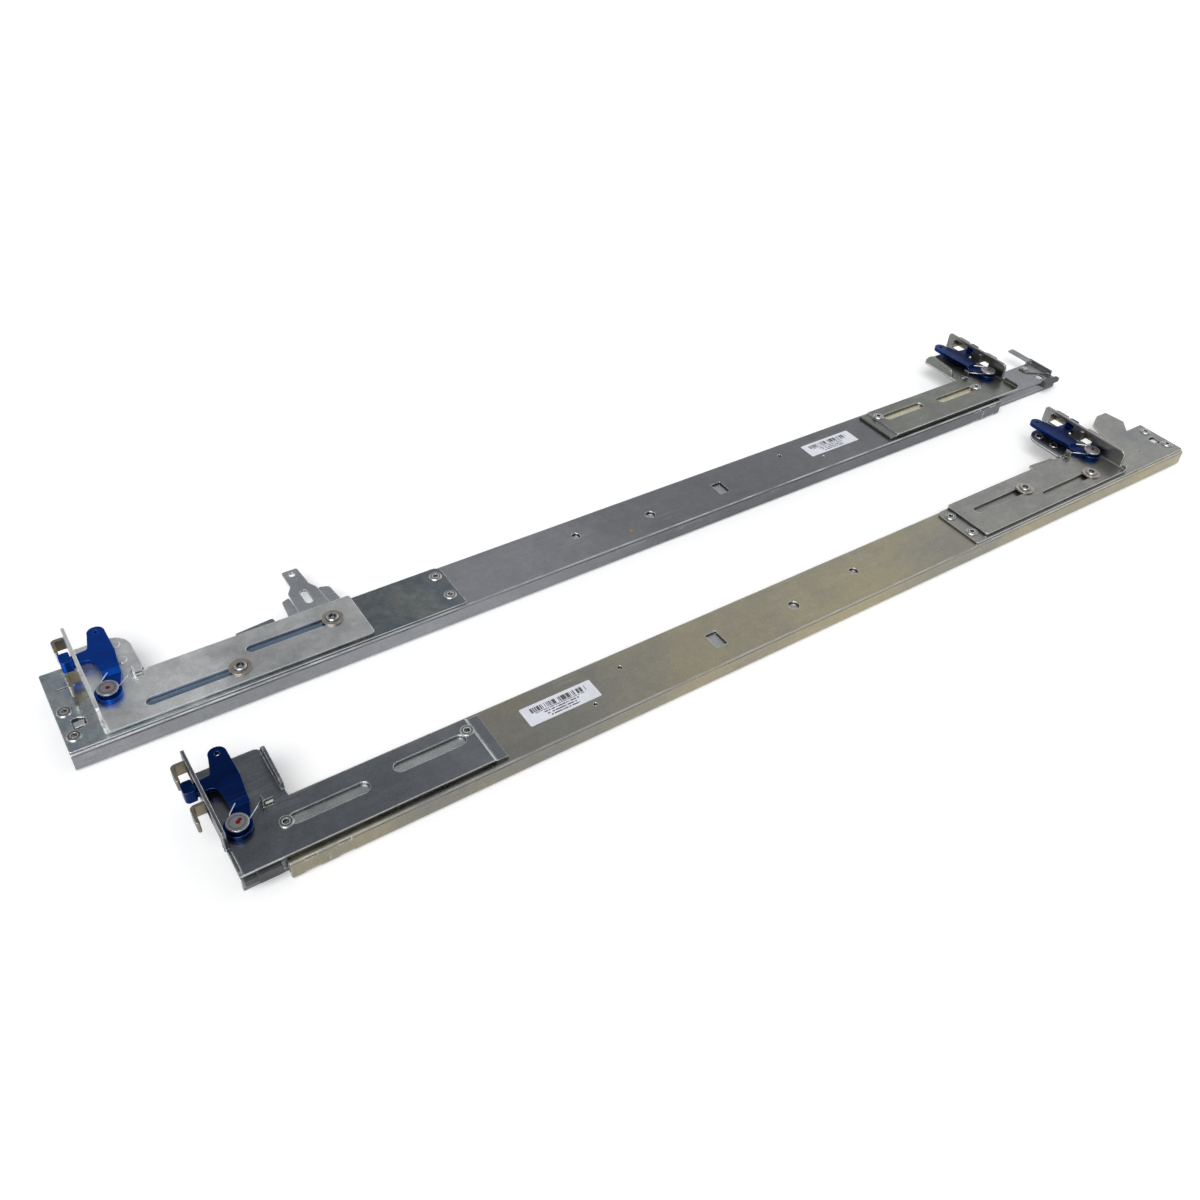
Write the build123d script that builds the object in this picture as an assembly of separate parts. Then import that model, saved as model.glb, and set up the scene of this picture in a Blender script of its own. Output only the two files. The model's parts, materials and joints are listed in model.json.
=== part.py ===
from build123d import *
import math
import os

# A pair of sliding server rails, lying with the rack side up, left rail behind, right rail in front.
# Each rail is drawn in its own frame: X runs from its rear end to its front end,
# Y runs across it, upwards in the rack, and Z runs from the chassis side to the rack side.

# Slide members, all lengths in millimetres
rail_length = 773.0
rail_height = 44.0
rail_depth = 13.0
member_gauge = 1.2
member_round = 1.8
outer_lip = 1.2
middle_lip = 0.2
inner_lip = 1.6
slide_round = 1.5
member_gap = 0.5
floor_gap = 1.0
middle_floor_gap = 1.6
nose_overhang = 24.0
tail_setback = 7.0
race_depth = 0.5
race_gap = 0.3

# Balls and their cages
ball_r = 1.19
outer_ball_z = 7.6
inner_ball_z = 4.4
ball_count = 4
cage_start = 250.0
cage_length = 330.0
cage_height = 4.6
cage_gauge = 0.6
cage_end_margin = 12.0
cage_ball_fit = 0.15

# How far each rail's parts stand from their closed place
inner_out = {"left": 58.0, "right": 0.0}
depth_out = {"left": 52.0, "right": 0.0}
depth_travel = 52.0

# Holes in the webs: distance back from the front end, place across, radius
web_holes = [(423.0, 25.8, 3.2), (362.0, 19.8, 3.8), (227.6, 31.0, 1.6), (197.5, 13.0, 1.4)]
web_window_backs = (300.5, 291.5)
web_window_y = (14.0, 27.0)
side_notch_backs = (30.5, 11.5)
side_notch_length = 7.2
side_notch_depth = 2.4
side_foot_length = 8.0
side_foot_rise = 1.6
side_slit_back = 21.8
side_slit_length = 0.6
side_slit_z = (3.0, 9.0)
middle_hole_start = 12.0
middle_hole_back = 13.0
middle_hole_r = 5.0

# Brackets
bracket_gauge = 2.0
bend_r = 1.0
bracket_low_y = 3.8
flange_overhang = 25.0
front_bracket_length = 157.0
front_bracket_high_y = 40.0
front_ear_width = 41.0
front_ear_round = 5.0
front_upright_low_y = 22.0
front_foot_high_y = 19.0
rear_flange_x = 72.5
rear_bracket_clearance = 1.3
rear_bracket_high_y = 43.5
rear_ear_width = 34.0
rear_ear_round = 13.0
rear_upright_low_y = 9.5
rear_foot_high_y = 7.8
rear_relief_r = 1.6
rear_stop_places = [(24.5, 72.0), (24.5, 57.0)]
rear_stop_r = 3.0
rear_stop_rise = 0.45
ear_high_y = 80.0
ear_low_y = 36.0
flange_high_y = 88.0
flange_height = 15.4
upright_foot_z = 5.6
upright_step_z = 3.4
upright_round = 4.0
joggle_length = 7.0
joggle_run = 2.0
slide_gap = 0.1

# Hooks and windows of the upright flanges, at the rack's hole spacing
rack_pitch = 31.75
hook_top_y = 83.0
hook_reach = 8.0
hook_drop = 12.5
hook_width = 8.0
hook_z = 3.8
window_z = 3.2
window_height = 9.6
latch_window_low_y = 59.0
low_window_length = 12.0

# Posts lanced out of the brackets for the latch springs
post_from_pivot = (16.0, 9.0)
post_gauge = 1.4
post_high_z = 7.4
post_width = 4.8
post_hole_length = 5.0

# Blue latches
latch_gauge = 3.0
latch_pivot_u = 10.5
latch_pivot_y = 32.0
latch_ring_r = 7.8
latch_lift = 0.3
latch_step = 2.6
latch_neck_left = 0.4
latch_neck_right = 11.0
latch_ear_u = 7.0
latch_ear_y = 50.0
latch_ear_r = 5.2
latch_ear_hole_r = 1.6
latch_arm_low_y = 28.5
latch_arm_high_y = 36.4
latch_head_length = 9.0
latch_head_height = 8.4
latch_head_reach = 7.4
pivot_r = 2.5
pivot_fit = 0.05
pivot_disc_r = 6.2
pivot_disc_gauge = 1.2
spring_wire_r = 0.45
spring_coil_r = 4.3

# Plates riveted on the outer member
plate_gauge = 1.5
guide_length = 249.5
guide_low_y = 1.6
guide_high_y = 42.4
backing_back = 123.0
backing_setback = 2.0
backing_y = (5.0, 38.8)

# Lugs and tabs along the guide plate's upper edge, outlines as x, y and corner radius
low_lug = [(57.0, 0.0), (95.0, 0.0), (94.0, 3.4), (58.0, 3.4)]
low_lug_round = 0.8
high_lug = [(110.0, 0.0), (137.0, 0.0), (136.0, 7.0), (111.0, 5.0)]
high_lug_round = 1.5
left_tab = [(34.0, 64.0, 2), (30.0, 70.0, 2), (0.0, 70.0, 1)]
left_tab_width = 34.0
left_tab_slit = (6.0, 16.0, 52.0, 53.4)
right_tab = [(37.0, 63.0, 1), (23.0, 70.0, 1), (11.0, 70.0, 1), (9.0, 53.0, 1)]
right_tab_foot = (20.0, 46.0)
end_window = [(7.0, 17.0, 0.8), (11.0, 17.0, 0.8), (14.5, 19.0, 1), (14.5, 24.0, 1), (11.0, 26.0, 0.8),
              (7.0, 26.0, 0.8)]
pin_hole = (36.0, 17.5, 1.2)
tongue_x = (7.4, 13.4)
tongue_y = (19.2, 23.8)

# Rivets, studs and washers
eyelet_r = 4.4
eyelet_bore_r = 1.8
eyelet_rise = 0.9
eyelet_shank_r = 2.35
eyelet_hole_r = 2.4
stud_r = 3.0
stud_head_r = 3.9
stud_head_rise = 1.2
stud_bore_r = 1.7
washer_r = 6.9
washer_gauge = 1.0
slot_fit = 0.4
slot_end_margin = 1.0
stud_places = [(103.0, 15.5), (167.5, 28.0)]
end_rivet_places = [(5.6, 33.5), (5.6, 12.5)]
guide_rivet_margin = 6.3
guide_rivet_y = (34.0, 13.0)
front_rivets_in = [(115.0, 23.8), (3.0, 30.9)]
front_slots_in = [(71.0, 109.0, 24.0), (10.0, 47.0, 27.0)]
front_slot_width = 8.0

# Fittings of the chassis member
j_slot_count = 4
j_rear_margin = 70.0
j_front_margin = 150.0
j_hole_r = 5.4
j_neck_width = 4.8
j_drop = 11.0
lever_gauge = 1.0
lever_length = 19.0
lever_pivot_r = 1.5
lever_lift = 0.1
lever_pivot_back = 15.0
lever_pivot_y = 30.0
lever_head_r = 2.6
lever_head_rise = 0.6
lever_low_y = 12.0
lever_high_y = 37.0
pad_gauge = 1.4
pad_rise = 4.2
finger_width = 7.0
finger_low_y = 35.0
finger_high_y = 58.0
finger_rise = 2.4
nose_window_backs = (17.0, 10.0)
nose_window_y = (12.0, 18.0)
bumper_backs = (21.0, 8.0)
bumper_z = (6.2, 12.6)
bumper_low_y = 2.0
bumper_tip_back = 1.0
bumper_tip_z = (8.0, 11.6)

# Cable arm's strap on the left rail, and the bare labels
cable_x = 163.5
cable_gauge = 1.5
cable_z = 9.5
cable_hole_y = 87.0
cable_hole_r = 2.1
cable_slot_y = 62.0
cable_slot_size = (14.0, 5.0)
cable_foot_x = (146.0, 182.0)
cable_foot_z = 3.5
cable_outline = [(-10.5, 0, 0), (11.5, 0, 0), (9.5, 24, 2), (6.5, 30, 1), (5.5, 48, 1.5), (-5.5, 48, 1.5),
                 (-5.5, 32, 1), (-9.5, 26, 1)]
near_wing = [(-17.5, 0, 0), (-10, 0, 0), (-10, 24, 1), (-15.5, 22, 2)]
far_wing = [(10.5, 0, 0), (19.5, 0, 0), (17.5, 22, 3), (9.5, 25, 2)]
label_back = 205.0
label_length = 50.0
label_y = (17.0, 32.0)
label_gauge = 0.2

# The pair as it lies
pair_stagger = 75.0
right_shift_y = -129.0

rack_face = rail_depth
inner_front = rail_length + nose_overhang
inner_length = inner_front - tail_setback
front_flange_x = rail_length + flange_overhang
right_shift_x = rail_length + pair_stagger
backing_start = rail_length - backing_back
backing_end = rail_length - backing_setback
guide_rivet_places = [(guide_length - guide_rivet_margin, y) for y in guide_rivet_y]
rear_bracket_end = guide_length - guide_rivet_margin - eyelet_r - rear_bracket_clearance
rear_bracket_length = rear_bracket_end - rear_flange_x
front_rivet_places = [(backing_start + x, y) for x, y in front_rivets_in]
front_slots = [(backing_start + x0, backing_start + x1, y) for x0, x1, y in front_slots_in]
j_slot_pitch = (inner_length - j_rear_margin - j_front_margin) / (j_slot_count - 1)
j_slot_places = [j_rear_margin + i * j_slot_pitch for i in range(j_slot_count)]
outer_ball_y = member_gauge - race_depth + ball_r + race_gap
middle_side_y = outer_ball_y + ball_r + race_gap - race_depth
inner_ball_y = middle_side_y + member_gauge - race_depth + ball_r + race_gap
inner_side_y = inner_ball_y + ball_r + race_gap - race_depth
middle_top = rack_face - member_gauge - member_gap
inner_top = middle_top - member_gauge - member_gap
front_bracket_z = rack_face + plate_gauge
rear_bracket_z = rack_face + plate_gauge + slide_gap
slot_width = 2 * (stud_r + slot_fit)
latch_low_z = bracket_gauge + latch_lift
latch_high_z = latch_low_z + latch_step
through = rack_face + 17.0


def block(x0, x1, y0, y1, z0, z1):
    centre = Pos((x0 + x1) / 2, (y0 + y1) / 2, (z0 + z1) / 2)
    return centre * Box(x1 - x0, y1 - y0, z1 - z0)


def disc(x, y, r, z0, z1):
    return Pos(x, y, (z0 + z1) / 2) * Cylinder(r, z1 - z0)


def rounded_face(corners):
    # corners are (x, y, radius); a radius of 0 leaves the corner sharp
    face = make_face(Polyline(*[(x, y) for x, y, _ in corners], close=True))
    for x, y, r in corners:
        if r > 0:
            corner = face.vertices().sort_by_distance((x, y, 0))[0]
            face = fillet(corner, r)
    return face


def panel(corners, bottom, gauge):
    return extrude(Pos(0, 0, bottom) * rounded_face(corners), amount=gauge)


def slot_cut(x0, x1, y, width, z0, z1):
    # x0 and x1 are the centres of the slot's round ends
    length = x1 - x0 + width
    shape = Pos((x0 + x1) / 2, y, z0) * SlotOverall(length, width)
    return extrude(shape, amount=z1 - z0)


def section(corners):
    # a face across the rail, corners given as (y, z, radius)
    return Plane.YZ * rounded_face(corners)


def across(corners, y0, y1):
    # a profile given as (x, z, radius), run from y0 to y1
    return extrude(Plane.XZ.offset(-y0) * rounded_face(corners), amount=y0 - y1)


def channel(side_y, top, bottom, lip, corner_r):
    # a roll-formed channel, open downwards, with lips turned in at its lower edges
    far = rail_height - side_y
    g = member_gauge
    outside = section([(side_y, bottom, 0.5), (far, bottom, 0.5),
                       (far, top, corner_r), (side_y, top, corner_r)])
    hollow = section([(side_y + g, bottom + g, 0), (far - g, bottom + g, 0),
                      (far - g, top - g, corner_r - g), (side_y + g, top - g, corner_r - g)])
    mouth = section([(side_y + g + lip, bottom - g, 0), (far - g - lip, bottom - g, 0),
                     (far - g - lip, bottom + 2 * g, 0), (side_y + g + lip, bottom + 2 * g, 0)])
    return outside - hollow - mouth


def races(face, ball_y, ball_z):
    # round grooves for one row of balls along each side
    for y in (ball_y, rail_height - ball_y):
        face -= Plane.YZ * Pos(y, ball_z) * Circle(ball_r + race_gap)
    return face


def outer_member():
    face = races(channel(0, rack_face, floor_gap, outer_lip, member_round), outer_ball_y, outer_ball_z)
    body = extrude(face, amount=rail_length)
    low, high = rack_face - 2 * member_gauge, rack_face + 1
    for back, y, r in web_holes:
        body -= disc(rail_length - back, y, r, low, high)
    body -= block(rail_length - web_window_backs[0], rail_length - web_window_backs[1],
                  *web_window_y, low, high)
    half = member_gauge / 2
    for back in side_notch_backs:
        x = rail_length - back
        notch, foot = side_notch_length / 2, side_foot_length / 2
        body -= block(x - notch, x + notch, -1, half, rack_face - side_notch_depth, high)
        body -= block(x - foot, x + foot, -1, half, 0, floor_gap + side_foot_rise)
    slit = rail_length - side_slit_back
    body -= block(slit, slit + side_slit_length, -1, half, *side_slit_z)
    for x, y in end_rivet_places + guide_rivet_places + front_rivet_places:
        body -= disc(x, y, eyelet_hole_r, low, high)
    for x, y in stud_places:
        body -= disc(x, y, stud_r, low, high)
    return body


def middle_member():
    face = channel(middle_side_y, middle_top, middle_floor_gap, middle_lip, slide_round)
    face = races(face, outer_ball_y, outer_ball_z)
    face = races(face, inner_ball_y, inner_ball_z)
    body = extrude(face, amount=rail_length)
    first, last = middle_hole_start, rail_length - middle_hole_back
    for x in (first, (first + last) / 2, last):
        body -= disc(x, rail_height / 2, middle_hole_r, middle_top - 2 * member_gauge, rack_face)
    return body


def j_slot(x):
    # a keyhole turned on its side: the shoulder screw drops in and runs down the neck
    centre_y = rail_height / 2 + j_drop / 2
    hole = disc(x, centre_y, j_hole_r, 0, rack_face)
    neck = block(x - j_neck_width / 2, x + j_neck_width / 2, centre_y - j_drop, centre_y, 0, rack_face)
    foot = disc(x, centre_y - j_drop, j_neck_width / 2, 0, rack_face)
    return hole + neck + foot


def inner_member():
    face = races(channel(inner_side_y, inner_top, 0, inner_lip, slide_round), inner_ball_y, inner_ball_z)
    start = inner_front - inner_length
    body = Pos(start, 0, 0) * extrude(face, amount=inner_length)
    for x in j_slot_places:
        body -= j_slot(start + x)
    low = inner_top - 2 * member_gauge
    window = (inner_front - nose_window_backs[0], inner_front - nose_window_backs[1], *nose_window_y)
    body -= block(*window, low, rack_face)
    body -= disc(inner_front - lever_pivot_back, lever_pivot_y, lever_pivot_r, low, rack_face)
    return body


def cage(ball_y, ball_z):
    # two slotted strips, one along each race, with a hole at each ball
    strips = Part()
    for y in (ball_y, rail_height - ball_y):
        strip = block(cage_start, cage_start + cage_length, y - cage_gauge / 2, y + cage_gauge / 2,
                      ball_z - cage_height / 2, ball_z + cage_height / 2)
        for x in ball_line():
            strip -= Pos(x, y, ball_z) * Rot(90, 0, 0) * Cylinder(ball_r + cage_ball_fit, 5 * cage_gauge)
        strips += strip
    return strips


def ball_line():
    span = cage_length - 2 * cage_end_margin
    return [cage_start + cage_end_margin + span * i / (ball_count - 1) for i in range(ball_count)]


def balls(ball_y, ball_z):
    row = Part()
    for y in (ball_y, rail_height - ball_y):
        for x in ball_line():
            row += Pos(x, y, ball_z) * Sphere(ball_r)
    return row


def eyelet(x, y, head_z, depth):
    # a rolled rivet: a dished ring above the sheet and a tube through it
    ring = disc(x, y, eyelet_r, head_z, head_z + eyelet_rise)
    ring = chamfer(ring.edges().group_by(Axis.Z)[-1], eyelet_rise * 0.6)
    tube = disc(x, y, eyelet_shank_r, head_z - depth, head_z + eyelet_rise / 2)
    return ring + tube - disc(x, y, eyelet_bore_r, head_z - depth - 1, head_z + eyelet_rise + 1)


def eyelets(places, head_z, depth):
    group = Part()
    for x, y in places:
        group += eyelet(x, y, head_z, depth)
    return group


def guide_plate(hand):
    # the plate that the rear bracket slides on, with the cable arm's tab at its rear end
    body = panel([(0, guide_low_y, 1.5), (guide_length, guide_low_y, 1.5), (guide_length, guide_high_y, 5),
                  (0, guide_high_y, 0.5)], rack_face, plate_gauge)
    for outline, corner_r in ((low_lug, low_lug_round), (high_lug, high_lug_round)):
        foot = [(x, guide_high_y - 1, 0) for x, _ in outline[:2]]
        crown = [(x, guide_high_y + rise, corner_r) for x, rise in outline[2:]]
        body += panel(foot + crown, rack_face, plate_gauge)
    if hand == "left":
        tab = [(0, guide_high_y - 1, 0), (left_tab_width, guide_high_y - 1, 0)] + left_tab
    else:
        tab = [(x, guide_high_y - 1, 0) for x in right_tab_foot] + right_tab
    body += panel(tab, rack_face, plate_gauge)
    if hand == "left":
        body -= block(*left_tab_slit, 0, through)
    body -= panel(end_window, 0, through)
    body -= disc(*pin_hole, 0, through)
    for x, y in end_rivet_places + guide_rivet_places:
        body -= disc(x, y, eyelet_hole_r, 0, through)
    for x, y in stud_places:
        body -= disc(x, y, stud_r, 0, through)
    return body


def end_tongue():
    # the bright spring leaf that shows in the end window
    near, far = tongue_x
    profile = [(near, rack_face, 0), (far, rack_face, 0), (far, rack_face + 0.5, 0),
               (far - 1, rack_face + 0.9, 0), (near, rack_face + 0.5, 0)]
    return across(profile, *tongue_y)


def backing_plate():
    low, high = backing_y
    body = panel([(backing_start, low, 1), (backing_end, low, 1),
                  (backing_end, high, 1), (backing_start, high, 1)],
                 rack_face, plate_gauge)
    for x0, x1, y in front_slots:
        body -= slot_cut(x0, x1, y, front_slot_width, 0, through)
    for x, y in front_rivet_places:
        body -= disc(x, y, eyelet_hole_r, 0, through)
    return body


def upright(high_low_y, foot_high_y):
    # the flange that meets the rack post, drawn as (y, z) and cut for its windows
    top = flange_height
    corners = [(bracket_low_y, bend_r, 0), (bracket_low_y, upright_foot_z, 1), (foot_high_y, upright_foot_z, 1),
               (foot_high_y, upright_step_z, 0), (high_low_y, upright_step_z, 0), (high_low_y, top, upright_round),
               (flange_high_y, top, 2), (flange_high_y, bend_r + 1, 1), (ear_high_y, bend_r, 0)]
    face = rounded_face(corners)
    windows = [(latch_window_low_y, hook_top_y),
               (hook_top_y - rack_pitch - low_window_length, hook_top_y - rack_pitch)]
    for low, high in windows:
        face -= rounded_face([(low, window_z, 1), (high, window_z, 1), (high, window_z + window_height, 1),
                              (low, window_z + window_height, 1)])
    return extrude(Plane.YZ * face, amount=bracket_gauge)


def hook(top_y):
    g = bracket_gauge
    outline = [(g, top_y, 0), (-hook_reach, top_y, 3), (-hook_reach, top_y - hook_drop, 1),
               (-hook_reach + g, top_y - hook_drop, 0.6), (-hook_reach + g, top_y - g, 0.8), (g, top_y - g, 0)]
    return panel(outline, hook_z, hook_width)


def spring_post():
    # lanced out of the bracket, holds the fixed leg of the latch spring
    u = latch_pivot_u + post_from_pivot[0]
    y = latch_pivot_y + post_from_pivot[1]
    far = u + post_gauge
    half = post_width / 2
    return across([(u, 0.5, 0), (far, 0.5, 0), (far, post_high_z, 0.5), (u, post_high_z, 0.5)],
                  y - half, y + half)


def bracket_head(ear_width, ear_corner_r, high_low_y, foot_high_y):
    # the end that meets the rack: u runs from the flange's outer face towards the middle of the rail
    g = bracket_gauge
    out_r = bend_r + g
    corner = make_face(Polyline((0, 0), (out_r, 0), (out_r, out_r), (0, out_r), close=True))
    ring = Pos(out_r, out_r) * (Circle(out_r) - Circle(bend_r))
    body = extrude(Plane.XZ.offset(-bracket_low_y) * (corner & ring), amount=bracket_low_y - ear_high_y)
    flat = panel([(out_r, bracket_low_y, 0), (ear_width + 1, bracket_low_y, 0), (ear_width + 1, ear_low_y, 0),
                  (ear_width, ear_low_y, 0), (ear_width - 1, ear_high_y, ear_corner_r), (out_r, ear_high_y, 0)], 0, g)
    wall = upright(high_low_y, foot_high_y)
    above = flange_high_y + 1
    wall = (wall & block(-1, g + 1, 0, above, out_r, above)
            + (wall & block(-1, g + 1, ear_high_y, above, 0, above)))
    body = body + flat + wall
    for top_y in (hook_top_y, hook_top_y - rack_pitch):
        body += hook(top_y)
    body += spring_post()
    body -= disc(latch_pivot_u, latch_pivot_y, pivot_r, -1, g + 1)
    hole_u = latch_pivot_u + post_from_pivot[0] + post_gauge
    hole_y = latch_pivot_y + post_from_pivot[1]
    half = post_width / 2
    body -= block(hole_u, hole_u + post_hole_length, hole_y - half, hole_y + half, -1, g + 1)
    return body


def rear_bracket():
    body = bracket_head(rear_ear_width, rear_ear_round, rear_upright_low_y, rear_foot_high_y)
    start = rear_ear_width - 2
    body += panel([(start, bracket_low_y, 0), (rear_bracket_length, bracket_low_y, 2),
                   (rear_bracket_length, rear_bracket_high_y, 2), (start, rear_bracket_high_y, 0)],
                  0, bracket_gauge)
    for x, y in stud_places:
        first = x - rear_flange_x - slot_end_margin
        last = first + depth_travel + 2 * slot_end_margin
        body -= slot_cut(first, last, y, slot_width, -1, bracket_gauge + 1)
    body -= disc(rear_ear_width, rear_bracket_high_y, rear_relief_r, -1, bracket_gauge + 1)
    for u, y in rear_stop_places:
        body += disc(u, y, rear_stop_r, bracket_gauge / 2, bracket_gauge + rear_stop_rise)
    return body


def front_bracket():
    body = bracket_head(front_ear_width, front_ear_round, front_upright_low_y, front_foot_high_y)
    g = bracket_gauge
    end = front_bracket_length
    step_start = end - joggle_length - joggle_run
    body += panel([(front_ear_width - 2, bracket_low_y, 0), (step_start, bracket_low_y, 0),
                   (step_start, front_bracket_high_y, 0), (front_ear_width - 2, front_bracket_high_y, 0)], 0, g)
    body += across([(step_start - 0.5, 0, 0), (step_start, 0, 0), (step_start + joggle_run, -plate_gauge, 0),
                    (end, -plate_gauge, 0), (end, g - plate_gauge, 0.6),
                    (step_start + joggle_run, g - plate_gauge, 0), (step_start, g, 0),
                    (step_start - 0.5, g, 0)], bracket_low_y, front_bracket_high_y)
    stiffener = [(front_bracket_high_y + 5, 0.5, 0), (front_bracket_high_y + 7, 8, 4), (ear_high_y - 1, 11, 7),
                 (ear_high_y - 4, 0.5, 0)]
    body += Pos(front_ear_width - g, 0, 0) * extrude(Plane.YZ * rounded_face(stiffener), amount=g)
    for x0, x1, y in front_slots:
        body -= slot_cut(front_flange_x - x1, front_flange_x - x0, y, front_slot_width, -3, g + 1)
    for x, y in front_rivet_places:
        body -= disc(front_flange_x - x, y, eyelet_hole_r, -3, g + 1)
    return body


def latch():
    # a stepped lever: a low ring round its pivot, a joggle, then the plate with its ear, arm and head
    u, y = latch_pivot_u, latch_pivot_y
    g = latch_gauge
    step_y = y + 12.5
    ring = disc(u, y, latch_ring_r, latch_low_z, latch_low_z + g)
    neck = panel([(u - 6.2, y + 2, 0), (u + 7.4, y + 1, 0), (u + latch_neck_right, step_y, 0),
                  (u + latch_neck_left, step_y, 0)], latch_low_z, g)
    rise = extrude(Plane.YZ * rounded_face([(step_y - 0.5, latch_low_z, 0), (step_y + 0.6, latch_low_z, 0),
                                            (step_y + 3.2, latch_high_z, 0), (step_y + 3.2, latch_high_z + g, 0),
                                            (step_y + 2, latch_high_z + g, 0), (step_y - 0.5, latch_low_z + g, 0)]),
                   amount=latch_neck_right - latch_neck_left)
    rise = Pos(u + latch_neck_left, 0, 0) * rise
    outline = [(u + latch_neck_left, step_y + 2.2, 0), (u + latch_neck_right, step_y + 2.2, 0),
               (u + 12.6, y + 30, 0), (u + latch_ear_u + latch_ear_r, y + latch_ear_y, 0),
               (u + latch_ear_u - latch_ear_r, y + latch_ear_y, 0), (u - 1.2, y + latch_arm_high_y + 1.2, 2),
               (-bracket_gauge, y + latch_arm_high_y, 0), (-bracket_gauge, y + latch_arm_low_y, 0),
               (u - 1.6, y + latch_arm_low_y, 4)]
    plate = panel(outline, latch_high_z, g)
    ear = disc(u + latch_ear_u, y + latch_ear_y, latch_ear_r, latch_high_z, latch_high_z + g)
    head_z = latch_high_z - 1
    high, low = y + latch_arm_high_y, y + latch_arm_high_y - latch_head_length
    head = panel([(-1, high, 1.2), (-latch_head_reach, high, 2.4),
                  (-latch_head_reach, low, 2.4), (-1, low, 1.2)],
                 head_z, latch_head_height)
    body = ring + neck + rise + plate + ear + head
    body -= disc(u + latch_ear_u, y + latch_ear_y, latch_ear_hole_r, latch_high_z - 1, latch_high_z + g + 1)
    body -= disc(u, y, pivot_r + pivot_fit, 0, latch_low_z + g + 1)
    return body


def latch_pivot():
    u, y = latch_pivot_u, latch_pivot_y
    disc_z = latch_low_z + latch_gauge + 4 * spring_wire_r + 0.1
    shaft = disc(u, y, pivot_r, 0, disc_z + 0.2)
    cap = disc(u, y, pivot_disc_r, disc_z, disc_z + pivot_disc_gauge)
    cap = fillet(cap.edges().group_by(Axis.Z)[-1], 0.5)
    return shaft + cap


def latch_spring():
    # two turns of wire round the pivot, drawn as closed rings, with a leg to the post and one to the latch
    u, y = latch_pivot_u, latch_pivot_y
    base = latch_low_z + latch_gauge + spring_wire_r
    body = Part()
    for turn in range(2):
        body += Pos(u, y, base + turn * 1.8 * spring_wire_r) * Torus(spring_coil_r, spring_wire_r)
    legs = [((u + spring_coil_r, y), (u + 15.4, y + 9)), ((u - spring_coil_r, y), (u + 2.6, y + 12))]
    for (x0, y0), (x1, y1) in legs:
        length = math.hypot(x1 - x0, y1 - y0)
        turn = math.degrees(math.atan2(y1 - y0, x1 - x0))
        wire = Rot(0, 90, 0) * Pos(0, 0, length / 2) * Cylinder(spring_wire_r, length)
        body += Pos(x0, y0, base) * Rot(0, 0, turn) * wire
    return body


def studs():
    group = Part()
    top = rear_bracket_z + bracket_gauge + slide_gap + washer_gauge
    for x, y in stud_places:
        body = disc(x, y, stud_r, rack_face - member_gauge, top + 0.1)
        head = disc(x, y, stud_head_r, top, top + stud_head_rise)
        head = chamfer(head.edges().group_by(Axis.Z)[-1], stud_head_rise / 2)
        group += body + head - disc(x, y, stud_bore_r, top + 0.2, top + 3)
    return group


def washers():
    group = Part()
    low = rear_bracket_z + bracket_gauge + slide_gap
    for x, y in stud_places:
        ring = disc(x, y, washer_r, low, low + washer_gauge)
        group += ring - disc(x, y, stud_r, low - 1, low + 3)
    return group


def release_lever():
    # bent leaf on the chassis member's nose: a thumb pad across the end and a finger tab past the edge
    x = inner_front
    z = inner_top + lever_lift
    g = lever_gauge
    leaf = panel([(x - lever_length, lever_pivot_y - 4, 2), (x, lever_low_y, 1), (x, lever_high_y, 1),
                  (x - lever_length, lever_pivot_y + 4, 2)], z, g)
    inner = x - pad_gauge
    pad = across([(inner, z, 0), (x, z, 0), (x, z + pad_rise, 0.6), (inner, z + pad_rise, 0.6)],
                 lever_low_y, lever_high_y)
    edge = x - finger_width
    finger = panel([(edge, finger_low_y, 1), (x, finger_low_y, 0), (x, finger_high_y, 1.5),
                    (edge, finger_high_y, 1.5)], z + finger_rise, g)
    top = z + finger_rise + g
    riser = across([(edge, z, 0), (x, z, 0), (x, top, 0), (edge, top, 0)],
                   finger_low_y, finger_low_y + pad_gauge)
    bore = disc(x - lever_pivot_back, lever_pivot_y, lever_pivot_r + pivot_fit, 0, through)
    return leaf + pad + finger + riser - bore


def lever_rivet():
    x, y = inner_front - lever_pivot_back, lever_pivot_y
    head_z = inner_top + lever_gauge + 2 * lever_lift
    shaft = disc(x, y, lever_pivot_r, inner_top - member_gauge, head_z + 0.1)
    return shaft + disc(x, y, lever_head_r, head_z, head_z + lever_head_rise)


def nose_bumper():
    # the plastic stop on the lower front corner of the chassis member
    x = inner_front
    back, front = bumper_backs
    body = block(x - back, x - front, bumper_low_y, inner_side_y, *bumper_z)
    body = fillet(body.edges().filter_by(Axis.Y), 1)
    tip = block(x - front - 0.5, x - bumper_tip_back, bumper_low_y + 0.6, inner_side_y, *bumper_tip_z)
    return body + tip


def cable_bracket():
    # a flat strap on a foot that is riveted to the upper side of the outer member
    z, g, y = cable_z, cable_gauge, rail_height

    def cut_out(outline, bottom):
        return panel([(cable_x + u, y + v, r) for u, v, r in outline], bottom, g)

    strap = cut_out(cable_outline, z) - disc(cable_x, cable_hole_y, cable_hole_r, 0, through)
    slot = Pos(cable_x, cable_slot_y, z - 1) * Rot(0, 0, 90) * SlotOverall(*cable_slot_size)
    strap -= extrude(slot, amount=g + 2)
    foot = block(*cable_foot_x, y, y + g, cable_foot_z, z + g)
    return strap + foot + cut_out(near_wing, z - g) + cut_out(far_wing, z - g)


def label():
    start = rail_length - label_back
    end = start + label_length
    low, high = label_y
    return panel([(start, low, 1), (end, low, 1), (end, high, 1), (start, high, 1)], rack_face, label_gauge)


def rear_place(hand, shape):
    return Pos(rear_flange_x - depth_out[hand], 0, rear_bracket_z) * shape


def front_place(shape):
    return Pos(front_flange_x, 0, front_bracket_z) * mirror(shape, Plane.YZ)


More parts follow.
